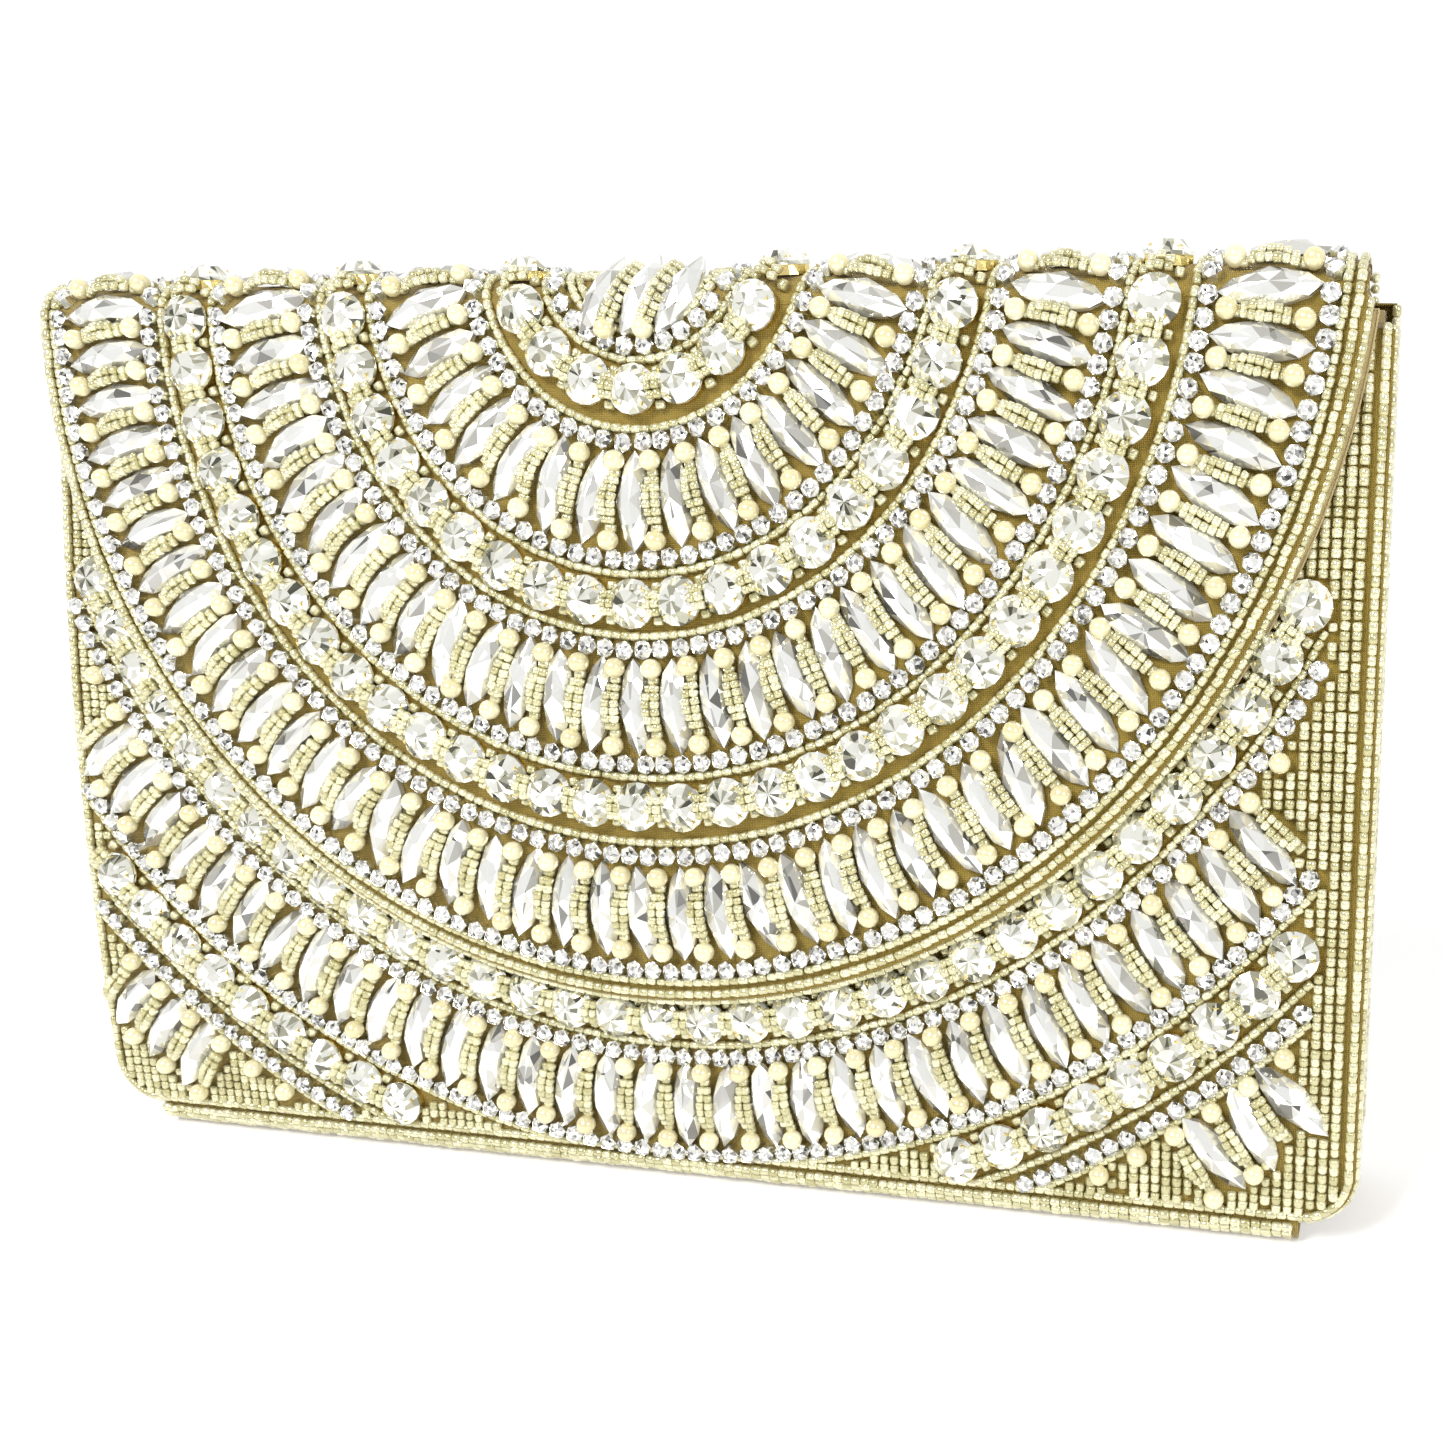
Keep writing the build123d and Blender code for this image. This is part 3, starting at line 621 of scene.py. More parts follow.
def pinch(stone, width, length):
    """Draws a round stone out to a pointed oval."""
    for v in stone.data.vertices:
        reach = max(math.hypot(v.co.x, v.co.y), 1e-9)
        c = v.co.x / reach
        v.co.x = reach * c * abs(c) ** 0.75 * width / 2
        v.co.y = v.co.y * length / 2


def put_away(*models):
    """The single stone or bead that was copied isn't part of the object."""
    for model in models:
        bpy.data.objects.remove(model, do_unlink=True)

navette = cut_stone("navette", 8, 0.0012, 0.0018, 0.6, 0.0008)
pinch(navette, 0.0074, 0.0186)
FLAP_NAVETTES = {"inner": (0.0503, 17), "middle": (0.0888, 31), "outer": (0.1289, 45)}
for name, (radius, count) in FLAP_NAVETTES.items():
    x, run, turn = ring(radius, ring_stones(count))
    keep = run > -0.005
    origin, axes = seats(x[keep], run[keep], 0.0003, turn[keep] + rng.normal(0, 0.05, keep.sum()))
    sizes = rng.normal(1, 0.02, (keep.sum(), 3))
    piece = sew(f"{name}_navettes_cut", navette, (origin, tilted(axes, 0.06)), sizes)
    piece.data.materials.append(clear_crystal)
    ride_fold(piece)
    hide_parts(f"{name}_navettes")
MOTIF_SPACING = 0.0078
MOTIF_RUN = 0.0076
MOTIF_MIDDLE = -0.0012
MOTIF_TURN = math.radians(-26)
motif_x = MOTIF_MIDDLE + MOTIF_SPACING * np.array([-1.0, 0.0, 1.0])
origin, axes = seats(motif_x, MOTIF_RUN, 0.0008, MOTIF_TURN)
piece = sew("centre_navettes_cut", navette, (origin, tilted(axes, 0.05)), 0.9)
piece.data.materials.append(clear_crystal)
ride_fold(piece)
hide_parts("centre_navettes", "fold_navettes")
taken = []


def claim(x, run, turn, reach, half_length):
    """Keeps the bead columns of the front clear of pieces, each given by circles along its length."""
    for share in (-1.0, -0.5, 0.0, 0.5, 1.0):
        step = share * half_length
        circle = np.full(len(x), reach * (1 - 0.6 * share**2 * (half_length > 0)))
        taken.append(np.stack([x + np.sin(turn) * step, run + np.cos(turn) * step, circle], -1))

FRONT_NAVETTES = (0.1707, 56)
NAVETTE_EDGE = 0.122
FAN = (0.2095, 68)
FAN_EDGE = 0.1262
FAN_FOOT = 0.0068
LEFT_EDGE = -0.1315
SHOWN_RUN = 0.06
low_end = front_end - 0.001
for name, (radius, count), edge, foot in (
    ("front_navettes", FRONT_NAVETTES, NAVETTE_EDGE, 0.0),
    ("corner_navettes", FAN, FAN_EDGE, FAN_FOOT),
):
    x, run, turn = ring(radius, ring_stones(count))
    keep = (run > SHOWN_RUN) & (run < low_end - foot) & (x < edge) & (x > LEFT_EDGE)
    claim(x[keep], run[keep], turn[keep], 0.0034, 0.0075)
    turned = turn[keep] + rng.normal(0, 0.05, keep.sum())
    origin, axes = seats(x[keep], run[keep], front_lift + 0.0003, turned)
    piece = sew(f"{name}_cut", navette, (origin, tilted(axes, 0.06)), rng.normal(1, 0.02, (keep.sum(), 3)))
    piece.data.materials.append(clear_crystal)
    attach(piece, "front_panel")
    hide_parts(name)

# ---------------------------------------------------------------------------
# Round stones: chatons of pressed glass, each set in a cup of gold-plated
# brass with four claws, sewn in rings between the navettes.
# ---------------------------------------------------------------------------
# The round stones' greys are painted reflections, darker than those of the navettes.
round_crystal = cut_glass(
    "round_crystal", (0.09, 0.088, 0.06), (0.45, 0.44, 0.33), (0.95, 0.95, 0.87), 520, 0.5, 0.6, 0.05
)
round_stone = cut_stone("round_stone", 16, 0.0007, 0.0019, 0.55, 0.0004)
for v in round_stone.data.vertices:
    v.co.x *= 0.00475
    v.co.y *= 0.00475
    v.co.z += 0.0018
unselect()
CUP_HEIGHT = 0.0024
bpy.ops.mesh.primitive_cylinder_add(
    vertices=16, radius=0.0044, depth=CUP_HEIGHT, end_fill_type="NGON", location=(0, 0, CUP_HEIGHT / 2)
)
claw_cup = bpy.context.object
bpy.ops.object.mode_set(mode="EDIT")
bpy.ops.mesh.select_all(action="DESELECT")
bpy.ops.object.mode_set(mode="OBJECT")
for face in claw_cup.data.polygons:
    face.select = face.normal.z > 0.9
bpy.ops.object.mode_set(mode="EDIT")
bpy.ops.mesh.select_mode(type="FACE")
bpy.ops.mesh.inset(thickness=0.0004)
bpy.ops.mesh.extrude_region_move(TRANSFORM_OT_translate={"value": (0, 0, -0.001)})
bpy.ops.object.mode_set(mode="OBJECT")

# four claws: the rim is drawn up and in at every fourth corner
for v in claw_cup.data.vertices:
    place = v.co + claw_cup.location
    v.co = place
    corner = math.degrees(math.atan2(place.y, place.x)) % 90
    if place.z > 0.0023 and (corner < 12 or corner > 78):
        v.co.z += 0.0012
        v.co.x *= 0.9
        v.co.y *= 0.9
claw_cup.location = (0, 0, 0)
FLAP_ROUNDS = {"inner": (0.0297, 9), "middle": (0.0693, 21), "outer": (0.1079, 33)}
for name, (radius, count) in FLAP_ROUNDS.items():
    x, run, turn = ring(radius, ring_stones(count))
    keep = run > -0.005
    origin, axes = seats(x[keep], run[keep], 0.0002, turn[keep] + math.radians(45))
    places = (origin, tilted(axes, 0.05))
    for kind, model, material, slot_name, stands_for in (
        ("stones", round_stone, round_crystal, "round_crystal", "round_stones"),
        ("cups", claw_cup, gold_plate, "gold_setting", "claw_cups"),
    ):
        piece = sew(f"{name}_set_{kind}", model, places)
        piece.data.materials.append(material)
        ride_fold(piece)
        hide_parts(f"{name}_{stands_for}")
        if name == "inner":
            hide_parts(f"fold_{stands_for}")
FRONT_ROUNDS = ((0.1523, 45), (0.189, 56))
FRONT_EDGE = 0.128
stones_x, stones_run, stones_turn = [], [], []
for (radius, count), foot in zip(FRONT_ROUNDS, (0.0, 0.0039)):
    x, run, turn = ring(radius, ring_stones(count))
    keep = (run > SHOWN_RUN) & (run < low_end - foot) & (x < FRONT_EDGE - 0.004) & (x > LEFT_EDGE)
    stones_x += list(x[keep])
    stones_run += list(run[keep])
    stones_turn += list(turn[keep] + math.radians(45))
claim(np.array(stones_x), np.array(stones_run), np.array(stones_turn), 0.0046, 0.0)
origin, axes = seats(stones_x, stones_run, front_lift + 0.0002, stones_turn)
places = (origin, tilted(axes, 0.05))
for kind, model, material, slot_name, stands_for in (
    ("stones", round_stone, round_crystal, "round_crystal", "front_round_stones"),
    ("cups", claw_cup, gold_plate, "gold_setting", "front_claw_cups"),
):
    piece = sew(f"front_set_{kind}", model, places)
    piece.data.materials.append(material)
    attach(piece, "front_panel")
    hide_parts(stands_for)

# ---------------------------------------------------------------------------
# Cup chain: small rhinestones in silver-plated cups on one long chain, which
# is sewn down along both sides of each ring.
# ---------------------------------------------------------------------------
def even_angles(radius, pitch, start, end):
    """Angles along a ring that are evenly spaced by a pitch along the thread."""
    fine = np.linspace(start, end, 400)
    x, run, _ = ring(radius, fine)
    length = np.concatenate([[0], np.cumsum(np.hypot(np.diff(x), np.diff(run)))])
    count = max(int(round(length[-1] / pitch)), 1)
    return np.interp((np.arange(count) + 0.5) * length[-1] / count, length, fine)

# The chain stones' greys are painted reflections too.
chain_crystal = cut_glass(
    "chain_crystal", (0.07, 0.07, 0.065), (0.45, 0.44, 0.42), (0.96, 0.96, 0.94), 900, 0.5, 0.6, 0.05
)
silver_plate = plated("silver_plate", (0.82, 0.82, 0.78), 0.2)
rhinestone = cut_stone("rhinestone", 8, 0.0003, 0.0007, 0.6, 0.00015)
for v in rhinestone.data.vertices:
    v.co.x *= 0.0016
    v.co.y *= 0.0016
    v.co.z += 0.0017
unselect()
CHAIN_CUP_HEIGHT = 0.0018
bpy.ops.mesh.primitive_cylinder_add(
    vertices=8, radius=0.00185, depth=CHAIN_CUP_HEIGHT, end_fill_type="NGON",
    location=(0, 0, CHAIN_CUP_HEIGHT / 2)
)
cup = bpy.context.object
for v in cup.data.vertices:
    v.co.z += CHAIN_CUP_HEIGHT / 2
    corner = abs(math.degrees(math.atan2(v.co.y, v.co.x)) % 90 - 45)
    if v.co.z > 0.001 and corner < 5:
        v.co.z += 0.0006
cup.location = (0, 0, 0)
CHAIN_PITCH = 0.0039
FLAP_CHAINS = (0.0217, 0.0394, 0.0612, 0.0779, 0.0997, 0.1175, 0.1403)


def rings_of(radii, pitch, limit):
    """Places of a row of beads along each of several rings, within a limit of angle for each radius."""
    x, run, turn = [], [], []
    for radius in radii:
        start, end = limit(radius)
        a, b, c = ring(radius, even_angles(radius, pitch, start, end))
        x += list(a)
        run += list(b)
        turn += list(c)
    return np.array(x), np.array(run), np.array(turn)


def whole_ring(radius):
    """From the ridge on one side to the ridge on the other."""
    end = math.pi / 2 - math.asin((RING_BACK - 0.004) / radius)
    return -end, end

x, run, turn = rings_of(FLAP_CHAINS, CHAIN_PITCH, whole_ring)
origin, axes = seats(x, run, 0.0002, turn)
places = (origin, tilted(axes, 0.05))
for kind, model, material, slot_name in (
    ("stones", rhinestone, chain_crystal, "crystal"),
    ("cups", cup, silver_plate, "cup_chain"),
):
    piece = sew(f"flap_chain_{kind}", model, places)
    piece.data.materials.append(material)
    ride_fold(piece)
    if kind == "cups":
        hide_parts("flap_cup_chains")
FRONT_CHAINS = (0.1602, 0.1812)
CORNER_CHAIN = 0.198


def out_to_side(radius):
    """From the left edge to the side columns."""
    start = math.asin((LEFT_EDGE - 0.002 - RING_SHIFT) / (RING_SQUASH * radius))
    end = math.asin((FRONT_EDGE - 0.001 - RING_SHIFT) / (RING_SQUASH * radius))
    return start, end

x, run, turn = rings_of(FRONT_CHAINS, CHAIN_PITCH, out_to_side)
more = rings_of((CORNER_CHAIN,), CHAIN_PITCH, out_to_side)
keep = more[1] < front_end - 0.002
x, run, turn = (np.concatenate([a, b[keep]]) for a, b in zip((x, run, turn), more))
claim(x, run, turn, 0.0019, 0.0)
origin, axes = seats(x, run, front_lift + 0.0002, turn)
places = (origin, tilted(axes, 0.05))
for kind, model, material, slot_name in (
    ("stones", rhinestone, chain_crystal, "crystal"),
    ("cups", cup, silver_plate, "cup_chain"),
):
    piece = sew(f"front_chain_{kind}", model, places)
    piece.data.materials.append(material)
    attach(piece, "front_panel")
    if kind == "cups":
        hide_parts("front_cup_chains")

# ---------------------------------------------------------------------------
# Pearls: round glass with a cream coat, one at each end of every strand
# between two navettes.
# ---------------------------------------------------------------------------
def ring_gaps(count):
    """Angles half way between the stones of a ring of that many stones."""
    return -math.pi / 2 + math.pi / count * np.arange(1, count)


def bead_tint(name, dark, light, metallic, roughness, coat):
    """A small bead: each bead has its own shade between two colours."""
    material, n, links, shader = finish(name, light, metallic, roughness, coat)
    whole = n.new("ShaderNodeAttribute")
    whole.attribute_name = "whole"
    mix = n.new("ShaderNodeMix")
    mix.data_type = "RGBA"
    mix.inputs[6].default_value = (*dark, 1)
    mix.inputs[7].default_value = (*light, 1)
    links.new(whole.outputs["Fac"], mix.inputs["Factor"])
    links.new(mix.outputs[2], shader.inputs["Base Color"])
    return material, n, links, shader

pearl_coat = bead_tint("pearl_coat", (0.74, 0.66, 0.38), (0.88, 0.82, 0.55), 0.25, 0.2, 1.0)[0]
unselect()
bpy.ops.mesh.primitive_uv_sphere_add(segments=14, ring_count=9, radius=0.002)
pearl = bpy.context.object
PEARL_OFFSET = 0.0074
for name, (radius, count) in FLAP_NAVETTES.items():
    x, run, turn = [], [], []
    for offset in (-PEARL_OFFSET, PEARL_OFFSET):
        a, b, c = ring(radius + offset, ring_gaps(count))
        x += list(a)
        run += list(b)
        turn += list(c)
    x, run, turn = np.array(x), np.array(run), np.array(turn)
    keep = run > -0.005
    places = seats(x[keep], run[keep], 0.0024, turn[keep])
    piece = sew(f"{name}_pearls_round", pearl, places, 1.0, smooth=True)
    piece.data.materials.append(pearl_coat)
    ride_fold(piece)
    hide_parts(f"{name}_pearls")
radius, count = FRONT_NAVETTES
x, run, turn = [], [], []
for offset in (-PEARL_OFFSET, PEARL_OFFSET):
    a, b, c = ring(radius + offset, ring_gaps(count))
    x += list(a)
    run += list(b)
    turn += list(c)
fan_radius, fan_count = FAN
for offset in (-PEARL_OFFSET, PEARL_OFFSET):
    a, b, c = ring(fan_radius + offset, ring_gaps(fan_count))
    x += list(a)
    run += list(b)
    turn += list(c)
x, run, turn = np.array(x), np.array(run), np.array(turn)
keep = (run > SHOWN_RUN) & (run < front_end - 0.002) & (x < NAVETTE_EDGE + 0.002) & (x > LEFT_EDGE)
in_fan = np.hypot((x - RING_SHIFT) / RING_SQUASH, run + RING_BACK) > fan_radius - 0.009
keep &= ~in_fan | (run < front_end - 0.0035)
claim(x[keep], run[keep], turn[keep], 0.002, 0.0)
places = seats(x[keep], run[keep], front_lift + 0.0024, turn[keep])
piece = sew("front_pearls_round", pearl, places, 1.0, smooth=True)
piece.data.materials.append(pearl_coat)
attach(piece, "front_panel")
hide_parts("front_pearls")

# ---------------------------------------------------------------------------
# Seed beads: short cut tubes of gold-lined glass with their rims melted
# round, threaded in rows along the rings and in strands between the stones.
# ---------------------------------------------------------------------------
seed_glass = bead_tint("seed_glass", (0.5, 0.46, 0.23), (0.82, 0.79, 0.54), 0.45, 0.16, 1.0)[0]
unselect()
bpy.ops.mesh.primitive_cylinder_add(vertices=7, radius=1, depth=2, end_fill_type="NGON")
seed = bpy.context.object
bpy.ops.object.mode_set(mode="EDIT")
bpy.ops.mesh.select_all(action="SELECT")
bpy.ops.mesh.bevel(offset=0.3, segments=1, affect="EDGES")
bpy.ops.transform.rotate(value=math.pi / 2, orient_axis="X", center_override=(0, 0, 0))
bpy.ops.object.mode_set(mode="OBJECT")
unselect()
bpy.ops.mesh.primitive_uv_sphere_add(segments=6, ring_count=4, radius=1)
back_seed = bpy.context.object
for v in back_seed.data.vertices:
    v.co = (v.co.x, v.co.z, -v.co.y)
SEED_RADIUS = 0.00088
SEED_LENGTH = 0.00096
SEED_PITCH = 0.00196


def seed_sizes(count, radius=SEED_RADIUS, length=SEED_LENGTH):
    """Sizes of beads, which vary by a few percent."""
    vary = rng.normal(1, 0.05, (count, 1))
    return np.array([[radius, length, radius]]) * vary

FLAP_SEEDS = (0.0241, 0.0368, 0.0637, 0.0753, 0.1023, 0.1149, 0.1428, 0.1452)
x, run, turn = rings_of(FLAP_SEEDS, SEED_PITCH, whole_ring)
x = x + rng.normal(0, 0.00008, len(x))
spin = turn + math.pi / 2 + rng.normal(0, 0.08, len(x))
places = seats(x, run, SEED_RADIUS + 0.0001, spin)
piece = sew("flap_seed_rows", seed, places, seed_sizes(len(x)), smooth=True)
piece.data.materials.append(seed_glass)
ride_fold(piece)
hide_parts("flap_seed_lines")


def strands(radius, count, beads, pitch, arch, low_run, high_run, edge, base_lift, width=0.00092):
    """Strands in the gaps of a ring: two threads of beads from pearl to pearl that arch up between."""
    angle = ring_gaps(count)
    x0, run0, turn = ring(radius, angle)
    keep = (run0 > low_run) & (run0 < high_run) & (x0 < edge) & (x0 > LEFT_EDGE)
    if base_lift < 0:
        claim(x0[keep], run0[keep], turn[keep], 0.0017, beads * pitch / 2)
    x0, run0, turn = (a[keep][:, None, None] for a in (x0, run0, turn))
    steps = ((np.arange(beads) - (beads - 1) / 2) * pitch)[None, None, :]
    share = steps / steps.max()
    sway = rng.normal(0, 0.0003, x0.shape) + width * np.array([-1.0, 1.0])[None, :, None]
    bend = sway * (1 - 0.75 * share**2)
    x = x0 + np.sin(turn) * steps + np.cos(turn) * bend
    run = run0 + np.cos(turn) * steps - np.sin(turn) * bend
    lift = base_lift + SEED_RADIUS + arch * (1 - share**2) + np.zeros_like(x)
    spin = turn + rng.normal(0, 0.12, x.shape)
    return seats(x.ravel(), run.ravel(), lift.ravel(), spin.ravel())

STRAND_BEADS = 8
STRAND_RADIUS = 0.00094
STRAND_LENGTH = 0.00072
CUP_SEED_LENGTH = 0.0008
STRAND_PITCH = 0.00146
for name, (radius, count) in FLAP_NAVETTES.items():
    places = strands(radius, count, STRAND_BEADS, STRAND_PITCH, 0.0021, -0.005, 1, 1, 0.0006)
    sizes = seed_sizes(len(places[0]), STRAND_RADIUS, STRAND_LENGTH)
    piece = sew(f"{name}_seed_strands", seed, places, sizes, smooth=True)
    piece.data.materials.append(seed_glass)
    ride_fold(piece)
    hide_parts(f"{name}_bead_strands")
for name, (radius, count) in FLAP_ROUNDS.items():
    places = strands(radius, count, 5, 0.0016, 0.0026, -0.005, 1, 1, 0.0004, 0.0008)
    sizes = seed_sizes(len(places[0]), SEED_RADIUS, CUP_SEED_LENGTH)
    piece = sew(f"{name}_cup_strands", seed, places, sizes, smooth=True)
    piece.data.materials.append(seed_glass)
    ride_fold(piece)

# Two strands between the three stones of the middle, and the seed rows round them
steps = (np.arange(8) - 3.5) * 0.0014
x, run = [], []
for gap in (-0.5, 0.5):
    for beside in (-0.0009, 0.0009):
        middle = MOTIF_MIDDLE + gap * MOTIF_SPACING
        x += list(middle + steps * -math.sin(MOTIF_TURN) + beside * math.cos(MOTIF_TURN))
        run += list(MOTIF_RUN - steps * math.cos(MOTIF_TURN) - beside * math.sin(MOTIF_TURN))
places = seats(x, run, 0.0032, MOTIF_TURN + rng.normal(0, 0.1, len(x)))
piece = sew("centre_seed_strands", seed, places, seed_sizes(len(x), STRAND_RADIUS, 0.0007), smooth=True)
piece.data.materials.append(seed_glass)
ride_fold(piece)
x, run, turn = [], [], []
for radius in (0.0188, 0.0170):
    a, b, c = ring(radius, even_angles(radius, SEED_PITCH, *whole_ring(radius)))
    x += list(a)
    run += list(b)
    turn += list(c)
for row in (-0.0035, -0.0015, 0.0005, 0.0025):
    a = np.concatenate([np.arange(-0.0145, -0.0105, SEED_PITCH), np.arange(0.0115, 0.0135, SEED_PITCH)])
    x += list(a)
    run += [row] * len(a)
    turn += [0.0] * len(a)
turn = np.array(turn) + math.pi / 2 + rng.normal(0, 0.08, len(turn))
places = seats(x, run, SEED_RADIUS + 0.0001, turn)
piece = sew("centre_seed_rows", seed, places, seed_sizes(len(x)), smooth=True)
piece.data.materials.append(seed_glass)
ride_fold(piece)
radius, count = FRONT_NAVETTES
places = strands(
    radius, count, STRAND_BEADS, STRAND_PITCH, 0.0019, SHOWN_RUN, low_end, NAVETTE_EDGE, front_lift + 0.0006
)
sizes = seed_sizes(len(places[0]), STRAND_RADIUS, STRAND_LENGTH)
piece = sew("front_seed_strands", seed, places, sizes, smooth=True)
piece.data.materials.append(seed_glass)
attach(piece, "front_panel")
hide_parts("front_bead_strands")
places = strands(
    *FAN, STRAND_BEADS, STRAND_PITCH, 0.0021, SHOWN_RUN, front_end - 0.0075, FAN_EDGE, front_lift + 0.0006
)
sizes = seed_sizes(len(places[0]), STRAND_RADIUS, STRAND_LENGTH)
piece = sew("corner_seed_strands", seed, places, sizes, smooth=True)
piece.data.materials.append(seed_glass)
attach(piece, "front_panel")
for index, (radius, count) in enumerate(FRONT_ROUNDS):
    places = strands(
        radius, count, 5, 0.0016, 0.0026,
        SHOWN_RUN, low_end - 0.004, FRONT_EDGE - 0.002, front_lift + 0.0004, 0.0008
    )
    sizes = seed_sizes(len(places[0]), SEED_RADIUS, CUP_SEED_LENGTH)
    piece = sew(f"front_cup_strands_{index + 1}", seed, places, sizes, smooth=True)
    piece.data.materials.append(seed_glass)
    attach(piece, "front_panel")
FRONT_SEEDS = (0.1578, 0.1836, 0.195, 0.2004)
x, run, turn = rings_of(FRONT_SEEDS, SEED_PITCH, out_to_side)
keep = run < front_end - 0.001
x, run, turn = x[keep], run[keep], turn[keep]
claim(x, run, turn, 0.001, 0.0)
places = seats(x, run, front_lift + SEED_RADIUS + 0.0001, turn + math.pi / 2 + rng.normal(0, 0.08, len(x)))
piece = sew("front_seed_rows", seed, places, seed_sizes(len(x)), smooth=True)
piece.data.materials.append(seed_glass)
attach(piece, "front_panel")
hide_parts("front_seed_line")

# ---------------------------------------------------------------------------
# Front columns: upright threads of seed beads that fill the sides and corners
# of the front, wherever no stone, pearl or chain is sewn.
# ---------------------------------------------------------------------------
taken = np.concatenate(taken)
COLUMN_PITCH = 0.0021
columns = np.arange(-64, 65) * COLUMN_PITCH
rows = np.arange(FRONT_TOP_RUN + 0.001, front_end - 0.0012, 0.00178)
x, run = (a.ravel() for a in np.meshgrid(columns, rows))
run = run + rng.normal(0, 0.0001, len(run))
from_middle = np.hypot((x - RING_SHIFT) / RING_SQUASH, run + RING_BACK)
corner_x, corner_run = half_width - FRONT_CORNER, front_end - FRONT_CORNER
in_corner = (np.abs(x) > corner_x) & (run > corner_run)
inside = ~in_corner | (np.hypot(np.abs(x) - corner_x, run - corner_run) < FRONT_CORNER - 0.0022)
shown = (from_middle > FLAP_REACH - 0.004) & (np.abs(x) < half_width - 0.0022)
shown &= (run < front_end - 0.0022) & inside
x, run = x[shown], run[shown]
room = np.hypot(x[:, None] - taken[:, 0], run[:, None] - taken[:, 1]) - taken[:, 2]
free = room.min(1) > 0.0006
x, run = x[free], run[free]
places = seats(x, run, front_lift + SEED_RADIUS + 0.0001, rng.normal(0, 0.08, len(x)))
piece = sew("front_side_columns", seed, places, seed_sizes(len(x), 0.00098, 0.00082), smooth=True)
piece.data.materials.append(seed_glass)
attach(piece, "front_panel")
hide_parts("front_edge_columns")

# ---------------------------------------------------------------------------
# Rims of the front and back: seed beads that follow each outline, one row on
# the front's face and two round each edge.
# ---------------------------------------------------------------------------
def outline(top, low, inset):
    """Places along the sides, round corners and foot of a panel: x, run and turn."""
    x, run, turn = [], [], []
    sides = np.arange(top, low - FRONT_CORNER, SEED_PITCH)
    corner = np.arange(0, math.pi / 2, SEED_PITCH / FRONT_CORNER)
    foot = np.arange(-corner_x, corner_x, SEED_PITCH)
    reach = FRONT_CORNER - inset
    for side in (-1, 1):
        x += [side * (half_width - inset)] * len(sides) + list(side * (corner_x + reach * np.cos(corner)))
        run += list(sides) + list(low - FRONT_CORNER + reach * np.sin(corner))
        turn += [0.0] * len(sides) + list(-side * corner)
    x, run, turn = x + list(foot), run + [low - inset] * len(foot), turn + [math.pi / 2] * len(foot)
    return np.array(x), np.array(run), np.array(turn)

ROWS = ((0.001, SEED_RADIUS), (-0.0003, -0.0008), (-0.0003, -0.0025))
parts = []
for inset, lift in ROWS:
    x, run, turn = outline(FRONT_TOP_RUN, front_end, inset)
    parts.append(seats(x, run, front_lift + lift, turn))
origin, axes = (np.concatenate(part) for part in zip(*parts))
piece = sew("front_rim_beads", seed, (origin, tilted(axes, 0.05)), seed_sizes(len(origin)), smooth=True)
piece.data.materials.append(seed_glass)
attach(piece, "front_panel")
parts = []
for inset, lift in ROWS[1:]:
    x, run, turn = outline(0.001, back_drop, inset)
    c, t, nought = np.cos(turn), np.sin(turn), np.zeros(len(x))
    side_axis, up_axis = np.stack([c, nought, t], -1), np.stack([-t, nought, c], -1)
    origin = np.stack([x, np.full(len(x), back_y + lift), fold_z - run], -1)
    parts.append((origin, np.stack([side_axis, up_axis, np.cross(side_axis, up_axis)], -1)))
origin, axes = (np.concatenate(part) for part in zip(*parts))
piece = sew("back_rim_beads", seed, (origin, tilted(axes, 0.05)), seed_sizes(len(origin)), smooth=True)
piece.data.materials.append(seed_glass)
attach(piece, "back_shell")

# ---------------------------------------------------------------------------
# Ridge and flap edge: the last rows of seed beads behind the ridge, and two
# rows wrapped round the edge of the flap.
# ---------------------------------------------------------------------------
rows = np.arange(-0.0103, -0.0052, 0.0019)
x, run = (a.ravel() for a in np.meshgrid(columns[np.abs(columns) < 0.133], rows))
places = seats(x, run, SEED_RADIUS * 0.9, rng.normal(0, 0.06, len(x)))
piece = sew("ridge_columns", back_seed, places, seed_sizes(len(x), 0.00102, 0.00092), smooth=True)
piece.data.materials.append(seed_glass)
ride_fold(piece)
x, run, turn = rings_of((FLAP_REACH + 0.0007,), SEED_PITCH, whole_ring)
keep = run > fold_run + 0.001
x, run, turn = x[keep], run[keep], turn[keep]
origins, turns = zip(*(seats(x, run, -depth, turn + math.pi / 2) for depth in (0.0007, 0.0023)))
places = (np.concatenate(origins), tilted(np.concatenate(turns), 0.05))
piece = sew("flap_rim_beads", seed, places, seed_sizes(2 * len(x)), smooth=True)
piece.data.materials.append(seed_glass)
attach(piece, "flap")

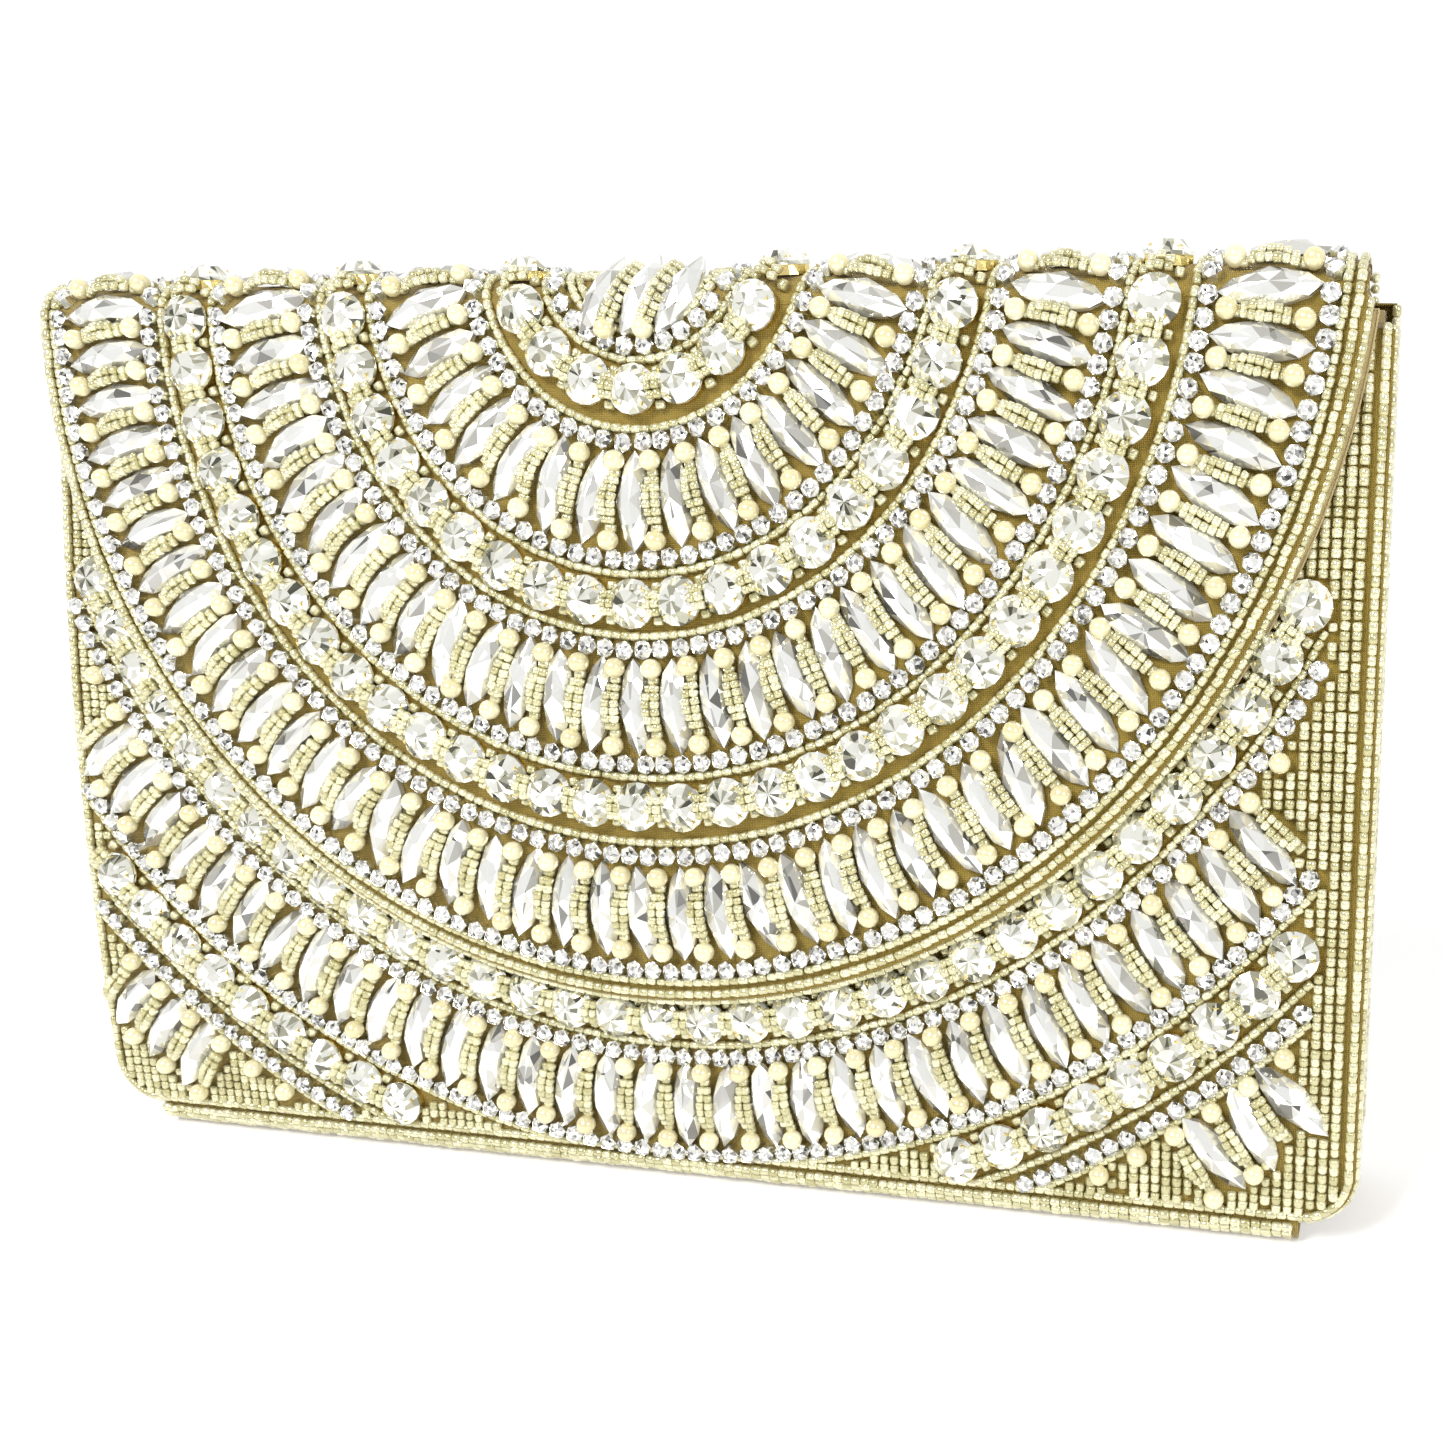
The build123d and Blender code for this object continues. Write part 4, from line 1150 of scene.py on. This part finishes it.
# ---------------------------------------------------------------------------
# Back beading: upright columns of seed beads over the whole back cover, in
# three pieces.
# ---------------------------------------------------------------------------
rows = np.arange(0.002, back_drop - 0.001, 0.0019)
x, run = (a.ravel() for a in np.meshgrid(columns, rows))
corner_run = back_drop - FRONT_CORNER
in_corner = (np.abs(x) > corner_x) & (run > corner_run)
inside = ~in_corner | (np.hypot(np.abs(x) - corner_x, run - corner_run) < FRONT_CORNER - 0.001)
x, run = x[inside], run[inside]
third = half_width / 3
for name, keep in (
    ("back_columns_left", x < -third),
    ("back_columns_middle", np.abs(x) <= third),
    ("back_columns_right", x > third),
):
    count = keep.sum()
    origin = np.stack([x[keep], np.full(count, back_y + SEED_RADIUS * 0.9), fold_z - run[keep]], -1)
    origin += rng.normal(0, 0.00006, origin.shape)
    upright = np.array([[-1.0, 0, 0], [0, 0, 1.0], [0, 1.0, 0]]).T
    axes = tilted(np.broadcast_to(upright, (count, 3, 3)), 0.06)
    piece = sew(name, back_seed, (origin, axes), seed_sizes(count, 0.00102, 0.00088), smooth=True)
    piece.data.materials.append(seed_glass)
    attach(piece, "back_shell")
    if name.endswith("left"):
        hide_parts("back_beading")

# ---------------------------------------------------------------------------
# Base rows and middle pearls: seed beads along the lower front edge, and two
# pearls at the lower ends of the two middle strands.
# ---------------------------------------------------------------------------
BASE_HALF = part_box("base_cover")[1].x
base_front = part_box("base_cover")[0].y
HEM_RADIUS = 0.004
x, y, z = [], [], []
for angle in (0, 22, 44, 66):
    spread = math.radians(angle)
    row = np.arange(-BASE_HALF + 0.001, BASE_HALF - 0.001, SEED_PITCH)
    x += list(row)
    y += [base_front + HEM_RADIUS - (HEM_RADIUS + 0.0006) * math.cos(spread)] * len(row)
    z += [HEM_RADIUS + 0.0004 - (HEM_RADIUS - 0.0007) * math.sin(spread)] * len(row)
origin = np.stack([x, y, z], -1) + rng.normal(0, 0.00006, (len(x), 3))
along = np.array([[0, 1.0, 0], [1.0, 0, 0], [0, 0, -1.0]]).T
axes = tilted(np.broadcast_to(along, (len(x), 3, 3)), 0.08)
piece = sew("base_seed_rows", seed, (origin, axes), seed_sizes(len(x)), smooth=True)
piece.data.materials.append(seed_glass)
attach(piece, "back_shell")
unselect()
x = [MOTIF_MIDDLE + gap * MOTIF_SPACING - 0.0062 * math.sin(-MOTIF_TURN) for gap in (-0.5, 0.5)]
piece = sew("centre_pearls", pearl, seats(x, MOTIF_RUN + 0.0062, 0.0028, 0.0), 1.0, smooth=True)
piece.data.materials.append(pearl_coat)
ride_fold(piece)
put_away(navette, round_stone, claw_cup, rhinestone, cup, pearl, seed, back_seed)

# ---------------------------------------------------------------------------
# Floor, light and camera: pale floor with a painted glow that grows away from the purse, soft studio light.
# ---------------------------------------------------------------------------
unselect()
bpy.ops.mesh.primitive_plane_add(size=6, location=(0, 0, 0))
floor = bpy.context.object
floor.name = "floor"
paper, paper_nodes, paper_links, shader = finish("glowing_white_paper", (0.8, 0.8, 0.8), 0.0, 0.9)
# The floor glows by itself, weakly near the purse and more strongly far away: painted light that makes the
# floor white.
shader.inputs["Emission Color"].default_value = (1, 1, 1, 1)
from_purse = paper_nodes.new("ShaderNodeTexCoord")
distance = paper_nodes.new("ShaderNodeVectorMath")
distance.operation = "LENGTH"
glow = paper_nodes.new("ShaderNodeMapRange")
glow.inputs["From Min"].default_value = 0.35
glow.inputs["From Max"].default_value = 1.1
glow.inputs["To Min"].default_value = 0.28
glow.inputs["To Max"].default_value = 0.5
paper_links.new(from_purse.outputs["Object"], distance.inputs[0])
paper_links.new(distance.outputs["Value"], glow.inputs["Value"])
paper_links.new(glow.outputs[0], shader.inputs["Emission Strength"])
floor.data.materials.append(paper)
world = bpy.data.worlds.new("studio")
bpy.context.scene.world = world
world.use_nodes = True
sky = world.node_tree
direction = sky.nodes.new("ShaderNodeTexCoord")
parts = sky.nodes.new("ShaderNodeSeparateXYZ")
level = sky.nodes.new("ShaderNodeMapRange")
level.inputs["From Min"].default_value = -0.3
level.inputs["From Max"].default_value = 0.25
level.inputs["To Min"].default_value = 0.42
level.inputs["To Max"].default_value = 1.05
sky.links.new(direction.outputs["Generated"], parts.inputs["Vector"])
sky.links.new(parts.outputs["Y"], level.inputs["Value"])
sky.links.new(level.outputs[0], sky.nodes["Background"].inputs["Strength"])
sky.nodes["Background"].inputs["Color"].default_value = (1, 1, 1, 1)
bpy.context.scene.view_settings.view_transform = "Standard"


def area_light(name, place, target, size, power):
    """A soft square lamp that faces a point."""
    lamp = bpy.data.lights.new(name, "AREA")
    lamp.size = size
    lamp.energy = power
    holder = bpy.data.objects.new(name, lamp)
    bpy.context.collection.objects.link(holder)
    holder.location = place
    holder.rotation_euler = (Vector(target) - Vector(place)).to_track_quat("-Z", "Y").to_euler()

area_light("key", (-0.35, -0.8, 0.9), (0, 0, 0.09), 0.4, 12)
area_light("fill", (0.8, -0.6, 0.5), (0, 0, 0.09), 0.3, 4)
CAMERA_PLACE = (0.1413, -0.2647, 0.1643)
CAMERA_PITCH = math.radians(16.44)
CAMERA_YAW = math.radians(12.49)
CAMERA_ROLL = math.radians(-0.75)
CAMERA_LENS = 37.51
CAMERA_SHIFT = (-0.2492, 0.049)
camera_data = bpy.data.cameras.new("camera")
camera_data.lens = CAMERA_LENS
camera_data.sensor_width = 36
camera_data.shift_x, camera_data.shift_y = CAMERA_SHIFT
camera = bpy.data.objects.new("camera", camera_data)
bpy.context.collection.objects.link(camera)
camera.location = CAMERA_PLACE
aim = Euler((math.pi / 2 - CAMERA_PITCH, 0, CAMERA_YAW)).to_matrix() @ Matrix.Rotation(CAMERA_ROLL, 3, "Z")
camera.rotation_euler = aim.to_euler()
bpy.context.scene.camera = camera
